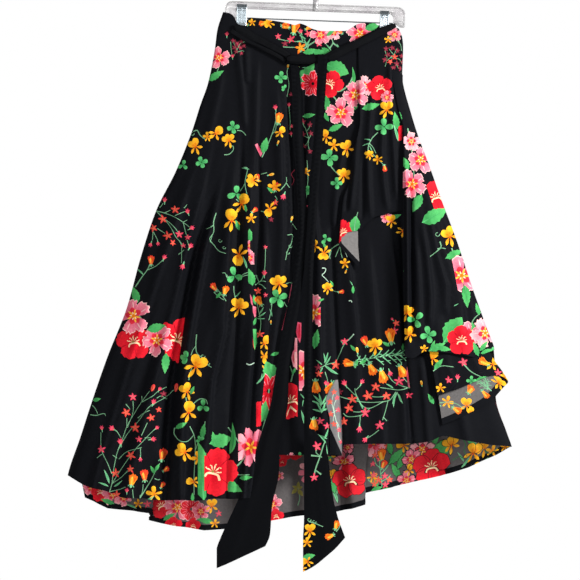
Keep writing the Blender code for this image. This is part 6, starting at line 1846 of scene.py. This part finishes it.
def strand(name, rows, stands=TIE_STANDS, shift=0.0, limit=None, stations=110, sides=36, pleats=5, twist=1.2, deep=0.13,
           seed=0.0):
    way = np.concatenate([[0], np.cumsum([math.hypot(b.x - a.x, b.drop - a.drop) for a, b in zip(rows, rows[1:])])])
    at = np.linspace(0, way[-1], stations)
    x, drop = hermite(way, [r.x for r in rows], at), hermite(way, [r.drop for r in rows], at)
    wide, thick = hermite(way, [r.half_width for r in rows], at), hermite(way, [r.half_thick for r in rows], at)
    dx, dd = np.gradient(x), np.gradient(drop)
    run = np.hypot(dx, dd)
    nx, nd = -dd / run, dx / run
    x, drop = x + nx * shift, drop + nd * shift
    if limit is not None:
        wide = np.minimum(wide, limit)
    y = -(stands + TIE_GROWS * opening(drop) + thick)
    centre = np.stack([x, y, -drop + WAIST_Z], -1)
    across_dir = np.stack([nx, np.zeros(stations), -nd], -1)

    def ripple(s, a):
        return (1 + deep * np.sin(pleats * a + twist * 2 * math.pi * s + seed) * (0.6 + 0.4 * np.sin(9 * s + seed))
                + 0.05 * np.sin(2 * a + 5 * s + seed) + 0.03 * np.sin(11 * a - 7 * s))

    obj = tube(name, centre, across_dir, wide, thick, sides, ripple)
    obj.data.materials.append(SASH)
    return obj


tie_band = strand("tie_left_upper", BAND, pleats=4, twist=0.7, seed=0.6)
tie_cord = strand("tie_left_lower", BAND, shift=12.0, limit=4.2, pleats=3, twist=1.6, seed=2.1)
tie_right = strand("tie_right_stretch", RIGHT_STRETCH, stands=TIE_STANDS + 0.4, pleats=4, twist=0.5, seed=1.4)
tie_knot = strand("tie_knot_wrap", KNOT, stands=TIE_STANDS + 4.6, pleats=5, twist=0.4, deep=0.10, seed=0.2)

# the panels are built about the waist line; all hang WAIST_Z below the hook
for obj in (front_outer, front_under, front_drape, side_flounce, side_tier, back_panel, turned_edge, tail_left, tail_right):
    obj.data.transform(Matrix.Translation((0, 0, WAIST_Z * 0.001)))
    obj.data.materials.append(CLOTH)

# ================================================================ the hanger
FRAME_LEFT, FRAME_RIGHT = -181.5, 180.5
LEG_LEFT, LEG_RIGHT = 22.0, 24.0
BEAM_TOP, BEAM_BOTTOM = -66.0, -81.0
LEG_END_LEFT, LEG_END_RIGHT = -114.0, -107.0
FRAME_CORNER = 15.0
TILT = Matrix.Rotation(math.radians(TILT_DEG), 4, "Y")


def arc(cx, cz, radius, a0, a1, count):
    return [(cx + radius * math.cos(math.radians(a)), cz + radius * math.sin(math.radians(a)))
            for a in np.linspace(a0, a1, count)]


def slab(name, outline, y0, y1, bevel, mat):
    """A plate of that outline, its edges rounded."""
    bm = bmesh.new()
    face = bm.faces.new([bm.verts.new((x * 0.001, y0 * 0.001, z * 0.001)) for x, z in outline])
    made = bmesh.ops.extrude_face_region(bm, geom=[face])["geom"]
    moved = [g for g in made if isinstance(g, bmesh.types.BMVert)]
    bmesh.ops.translate(bm, verts=moved, vec=(0, (y1 - y0) * 0.001, 0))
    bmesh.ops.recalc_face_normals(bm, faces=bm.faces)
    if bevel:
        sharp = [e for e in bm.edges if len(e.link_faces) == 2 and e.calc_face_angle(0) > 0.9]
        bmesh.ops.bevel(bm, geom=sharp, offset=bevel * 0.001, segments=3, profile=0.5, affect="EDGES", clamp_overlap=True)
    mesh = bpy.data.meshes.new(name)
    bm.to_mesh(mesh)
    bm.free()
    mesh.shade_smooth()
    mesh.set_sharp_from_angle(angle=math.radians(35))
    obj = bpy.data.objects.new(name, mesh)
    bpy.context.scene.collection.objects.link(obj)
    mesh.materials.append(mat)
    return obj


def inner_corner(cx, cz, a0, a1):
    return arc(cx, cz, 8.0, a0, a1, 8)


outline = arc(FRAME_LEFT + FRAME_CORNER, BEAM_TOP - FRAME_CORNER, FRAME_CORNER, 180, 90, 12)
outline += arc(FRAME_RIGHT - FRAME_CORNER, BEAM_TOP - FRAME_CORNER, FRAME_CORNER, 90, 0, 12)
outline += arc(FRAME_RIGHT - 3, LEG_END_RIGHT + 3, 3, 0, -90, 5)
outline += [(FRAME_RIGHT - LEG_RIGHT + 15, LEG_END_RIGHT), (FRAME_RIGHT - LEG_RIGHT, LEG_END_RIGHT + 9)]
outline += inner_corner(FRAME_RIGHT - LEG_RIGHT - 8, BEAM_BOTTOM - 8, 0, 90)
outline += inner_corner(FRAME_LEFT + LEG_LEFT + 8, BEAM_BOTTOM - 8, 90, 180)
outline += arc(FRAME_LEFT + LEG_LEFT - 3, LEG_END_LEFT + 3, 3, 0, -90, 5)
outline += arc(FRAME_LEFT + 3, LEG_END_LEFT + 3, 3, -90, -180, 5)
hanger = slab("hanger_moulding", outline, -2.2, 2.2, 0.9, PLASTIC)


def rib(name, points, wide, y0, y1):
    p = np.array(points, float)
    way = np.gradient(p, axis=0)
    way /= np.hypot(way[:, 0], way[:, 1])[:, None]
    side = np.stack([-way[:, 1], way[:, 0]], -1) * wide / 2
    return slab(name, [tuple(q) for q in np.concatenate([p + side, (p - side)[::-1]])], y0, y1, 0.2, PLASTIC)


inset = 2.3
rim_line = ([(FRAME_LEFT + inset, LEG_END_LEFT + 5)]
            + arc(FRAME_LEFT + FRAME_CORNER, BEAM_TOP - FRAME_CORNER, FRAME_CORNER - inset, 180, 90, 10)
            + arc(FRAME_RIGHT - FRAME_CORNER, BEAM_TOP - FRAME_CORNER, FRAME_CORNER - inset, 90, 0, 10)
            + [(FRAME_RIGHT - inset, LEG_END_RIGHT + 5)])
inner_line = [(FRAME_LEFT + LEG_LEFT + 2, BEAM_BOTTOM + 4.2), (-60, BEAM_BOTTOM + 4.2), (60, BEAM_BOTTOM + 4.2),
              (FRAME_RIGHT - LEG_RIGHT - 2, BEAM_BOTTOM + 4.2)]
ribs = [rib("rim", rim_line, 1.5, -3.0, -2.0), rib("rim_back", rim_line, 1.5, 2.0, 3.0),
        rib("inner_rib", inner_line, 1.3, -2.9, -2.0), rib("inner_rib_back", inner_line, 1.3, 2.0, 2.9),
        rib("leg_bar", [(FRAME_RIGHT - 19, LEG_END_RIGHT + 12), (FRAME_RIGHT - 4, LEG_END_RIGHT + 12)], 1.2, -2.9, -2.0)]


def post(name, radius, low, high, mat, sides=40, bore=None):
    """The upright socket for the hook."""
    profile = [(radius - 0.8, low), (radius, low + 0.8), (radius, high - 1.0), (radius - 0.35, high - 0.35),
               (radius - 1.0, high)]
    if bore:
        profile += [(bore, high), (bore, low + 2)]
    verts, faces = [], []
    for r, z in profile:
        verts += [(r * math.cos(a) * 0.001, r * math.sin(a) * 0.001, z * 0.001)
                  for a in np.linspace(0, 2 * math.pi, sides, endpoint=False)]
    for k in range(len(profile) - 1):
        for s in range(sides):
            a, b = k * sides + s, k * sides + (s + 1) % sides
            faces.append((a, b, b + sides, a + sides))
    faces.append(tuple(range(sides - 1, -1, -1)))
    last = (len(profile) - 1) * sides
    faces.append(tuple(last + s for s in range(sides)))
    mesh = bpy.data.meshes.new(name)
    mesh.from_pydata(verts, [], faces)
    bm = bmesh.new()
    bm.from_mesh(mesh)
    bmesh.ops.recalc_face_normals(bm, faces=bm.faces)
    bm.to_mesh(mesh)
    bm.free()
    mesh.shade_smooth()
    mesh.set_sharp_from_angle(angle=math.radians(35))
    obj = bpy.data.objects.new(name, mesh)
    bpy.context.scene.collection.objects.link(obj)
    mesh.materials.append(mat)
    return obj




def merged(target, others):
    bm = bmesh.new()
    for obj in [target] + others:
        bm.from_mesh(obj.data)
    bm.to_mesh(target.data)
    bm.free()
    target.data.set_sharp_from_angle(angle=math.radians(35))
    for obj in others:
        bpy.data.objects.remove(obj)
    return target


boss = post("boss", 5.5, BEAM_BOTTOM + 0.5, -50.0, PLASTIC, bore=2.1)
hanger = merged(hanger, [boss] + ribs)
hanger.data.transform(TILT)

Clip = namedtuple("Clip", "name x width top bottom")
CLIPS = [Clip("left", -148.0, 20.0, -66.5, -109.0), Clip("right", 139.0, 18.0, -80.0, -116.5)]


def clip_plate(name, clip, sign):
    """A pressed steel jaw: upright ribs, rolled sides, a lip at the top and small teeth at the foot."""
    lift = clip.x * math.tan(math.radians(TILT_DEG))
    top, bottom = clip.top + lift, clip.bottom + lift
    nx, nz = 41, 49
    xs, zs = np.linspace(-1, 1, nx), np.linspace(0, 1, nz)
    xx, zz = np.meshgrid(xs, zs)
    z = bottom + (top - bottom) * zz
    x = clip.x + clip.width / 2 * xx
    foot = np.clip((z - bottom) / 1.6, 0, 1)
    z = z + (1 - foot) * 0.55 * np.abs(((xx * 5) % 1) - 0.5) * 2
    y = 3.75 + 0.8 * smooth((z - top + 6.4) / 4) + 0.8 * smooth((z - top + 2.4) / 2.4)
    ribs_on = smooth((z - bottom - 4) / 2) * smooth((top - 8 - z) / 2) * smooth((0.86 - np.abs(xx)) / 0.1)
    y = y + 0.32 * np.cos(xx * math.pi * 5) * ribs_on
    y = y + 0.35 * ((np.abs(z - top + 11) < 2.2) & (np.abs(np.abs(xx) - 0.45) < 0.26))
    y = y - 0.55 * smooth((np.abs(xx) - 0.90) / 0.1)
    front = np.stack([x, y + 0.35, z], -1).reshape(-1, 3)
    rear = np.stack([x, y - 0.35, z], -1).reshape(-1, 3)
    verts = np.concatenate([front, rear]) * 0.001
    verts[:, 1] *= sign
    n = nx * nz
    faces = []
    for k in range(nz - 1):
        for j in range(nx - 1):
            a = k * nx + j
            faces += [(a, a + 1, a + nx + 1, a + nx), (a + n, a + nx + n, a + nx + 1 + n, a + 1 + n)]
    loop = (list(range(nx)) + [k * nx + nx - 1 for k in range(1, nz)] + [(nz - 1) * nx + j for j in range(nx - 2, -1, -1)]
            + [k * nx for k in range(nz - 2, 0, -1)])
    for a, b in zip(loop, loop[1:] + loop[:1]):
        faces.append((b, a, a + n, b + n))
    mesh = bpy.data.meshes.new(name)
    mesh.from_pydata([tuple(v) for v in verts], [], faces)
    bm = bmesh.new()
    bm.from_mesh(mesh)
    bmesh.ops.recalc_face_normals(bm, faces=bm.faces)
    bm.to_mesh(mesh)
    bm.free()
    mesh.shade_smooth()
    mesh.set_sharp_from_angle(angle=math.radians(50))
    mesh.materials.append(METAL)
    mesh.transform(TILT)
    obj = bpy.data.objects.new(name, mesh)
    bpy.context.scene.collection.objects.link(obj)
    return obj


plates = {}
for clip in CLIPS:
    for side, sign in (("front", -1), ("back", 1)):
        plates[f"clip_{clip.name}_{side}"] = clip_plate(f"jaw_{clip.name}_{side}", clip, sign)

for node in ("hanger_rod", "hanger_hook", "clip_left_spring", "clip_right_spring"):
    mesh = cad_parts[node].data
    mesh.materials.clear()
    mesh.materials.append(METAL)

# ================================================================ what each piece is
STANDS_FOR = [(front_outer, "front_outer", "printed_cloth"), (front_under, "front_under", "printed_cloth"),
              (front_drape, "front_drape", "printed_cloth"), (side_flounce, "side_flounce", "printed_cloth"),
              (side_tier, "side_tier", "printed_cloth"), (back_panel, "back_panel", "printed_cloth"),
              (turned_edge, "front_turned_edge", "wrong_side"), (tail_left, "tail_left", "plain_tie"),
              (tail_right, "tail_right", "plain_tie"), (tie_band, "tie_left_band", "plain_tie"),
              (tie_cord, "tie_left_cord", "plain_tie"), (tie_right, "tie_right", "plain_tie"),
              (tie_knot, "tie_knot", "plain_tie"), (hanger, "hanger_frame", "clear_plastic")]
STANDS_FOR += [(obj, node, "bright_metal") for node, obj in plates.items()]
for obj, node, slot in STANDS_FOR:
    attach(obj, "root")
    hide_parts(node)

HELD = {"skirt_front_outer": ("hung", ["clip_left_front", "clip_left_back"]),
        "skirt_front_inner": ("hung", ["clip_left_front", "clip_right_front"]),
        "skirt_front_drape": ("hung", ["clip_right_front", "front_under"]),
        "skirt_side_flounce": ("hung", ["front_under"]), "skirt_side_tier": ("hung", ["front_under"]),
        "skirt_back": ("hung", ["clip_left_back", "clip_right_back"]),
        "skirt_turned_edge": ("folded", ["front_under"]), "tie_end_left": ("hung", ["tie_knot"]),
        "tie_end_right": ("hung", ["tie_knot"])}
for name, (held, rests) in HELD.items():
    obj, size, area, count = BUILT[name]
    wide, long = float(size[0]), float(size[1])
    if area < 0.32 * wide * long:        # a long slanting strip: its mean width
        wide = float(area) / long


def half_area(obj):
    return sum(p.area for p in obj.data.polygons) / 2


for obj, rows, rests in ((tie_band, BAND, ["clip_left_front", "tie_knot"]), (tie_cord, BAND, ["clip_left_front", "tie_knot"]),
                         (tie_right, RIGHT_STRETCH, ["tie_knot", "clip_right_front"]), (tie_knot, KNOT, ["front_under"])):
    area = half_area(obj)

# ================================================================ studio
scene = bpy.context.scene
world = bpy.data.worlds.new("studio")
scene.world = world
world.use_nodes = True
# a white wall all round at the skirt's height, dimmer above and below it, so that folds keep their shade
background = world.node_tree.nodes["Background"]
background.inputs["Color"].default_value = (1.0, 1.0, 1.0, 1.0)
towards = world.node_tree.nodes.new("ShaderNodeTexCoord")
parts = world.node_tree.nodes.new("ShaderNodeSeparateXYZ")
level = world.node_tree.nodes.new("ShaderNodeMath")
level.operation = "ABSOLUTE"
falling = world.node_tree.nodes.new("ShaderNodeMapRange")
falling.inputs["From Min"].default_value, falling.inputs["From Max"].default_value = 0.085, 0.16
falling.inputs["To Min"].default_value, falling.inputs["To Max"].default_value = 1.0, 0.22
world.node_tree.links.new(towards.outputs["Generated"], parts.inputs["Vector"])
world.node_tree.links.new(parts.outputs["Z"], level.inputs[0])
world.node_tree.links.new(level.outputs[0], falling.inputs["Value"])
world.node_tree.links.new(falling.outputs["Result"], background.inputs["Strength"])


def softbox(name, place_at, aim, size, power):
    light = bpy.data.lights.new(name, "AREA")
    light.shape, light.size, light.energy = "DISK", size, power
    obj = bpy.data.objects.new(name, light)
    obj.location = place_at
    obj.rotation_euler = (Vector(aim) - Vector(place_at)).to_track_quat("-Z", "Y").to_euler()
    scene.collection.objects.link(obj)
    return obj


softbox("key", (2.8, -1.9, 0.6), (-0.05, 0, -0.6), 0.8, 190.0)
softbox("fill", (-1.6, -3.6, -0.1), (-0.05, 0, -0.7), 1.6, 38.0)

bpy.ops.mesh.primitive_plane_add(size=1.9, location=(0, 0, -1.36))
floor = bpy.context.active_object
floor.name = "floor"
floor_mat, _ = new_material("pale_floor", (0.86, 0.86, 0.86), 0.8)
floor.data.materials.append(floor_mat)

camera_data = bpy.data.cameras.new("front")
camera_data.lens, camera_data.sensor_width, camera_data.sensor_fit = 247.3, 36.0, "HORIZONTAL"
camera_data.clip_end = 60.0
camera = bpy.data.objects.new("front", camera_data)
camera.location = (-0.054, -8.0, -0.640)
camera.rotation_euler = (math.radians(90), 0, 0)
scene.collection.objects.link(camera)
scene.camera = camera
scene.view_settings.view_transform = "Standard"
scene.view_settings.look = "None"

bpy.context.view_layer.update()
for name, (obj, size, area, count) in BUILT.items():
    print("PANEL", name, "triangles", count, "flat m2", round(area, 4))
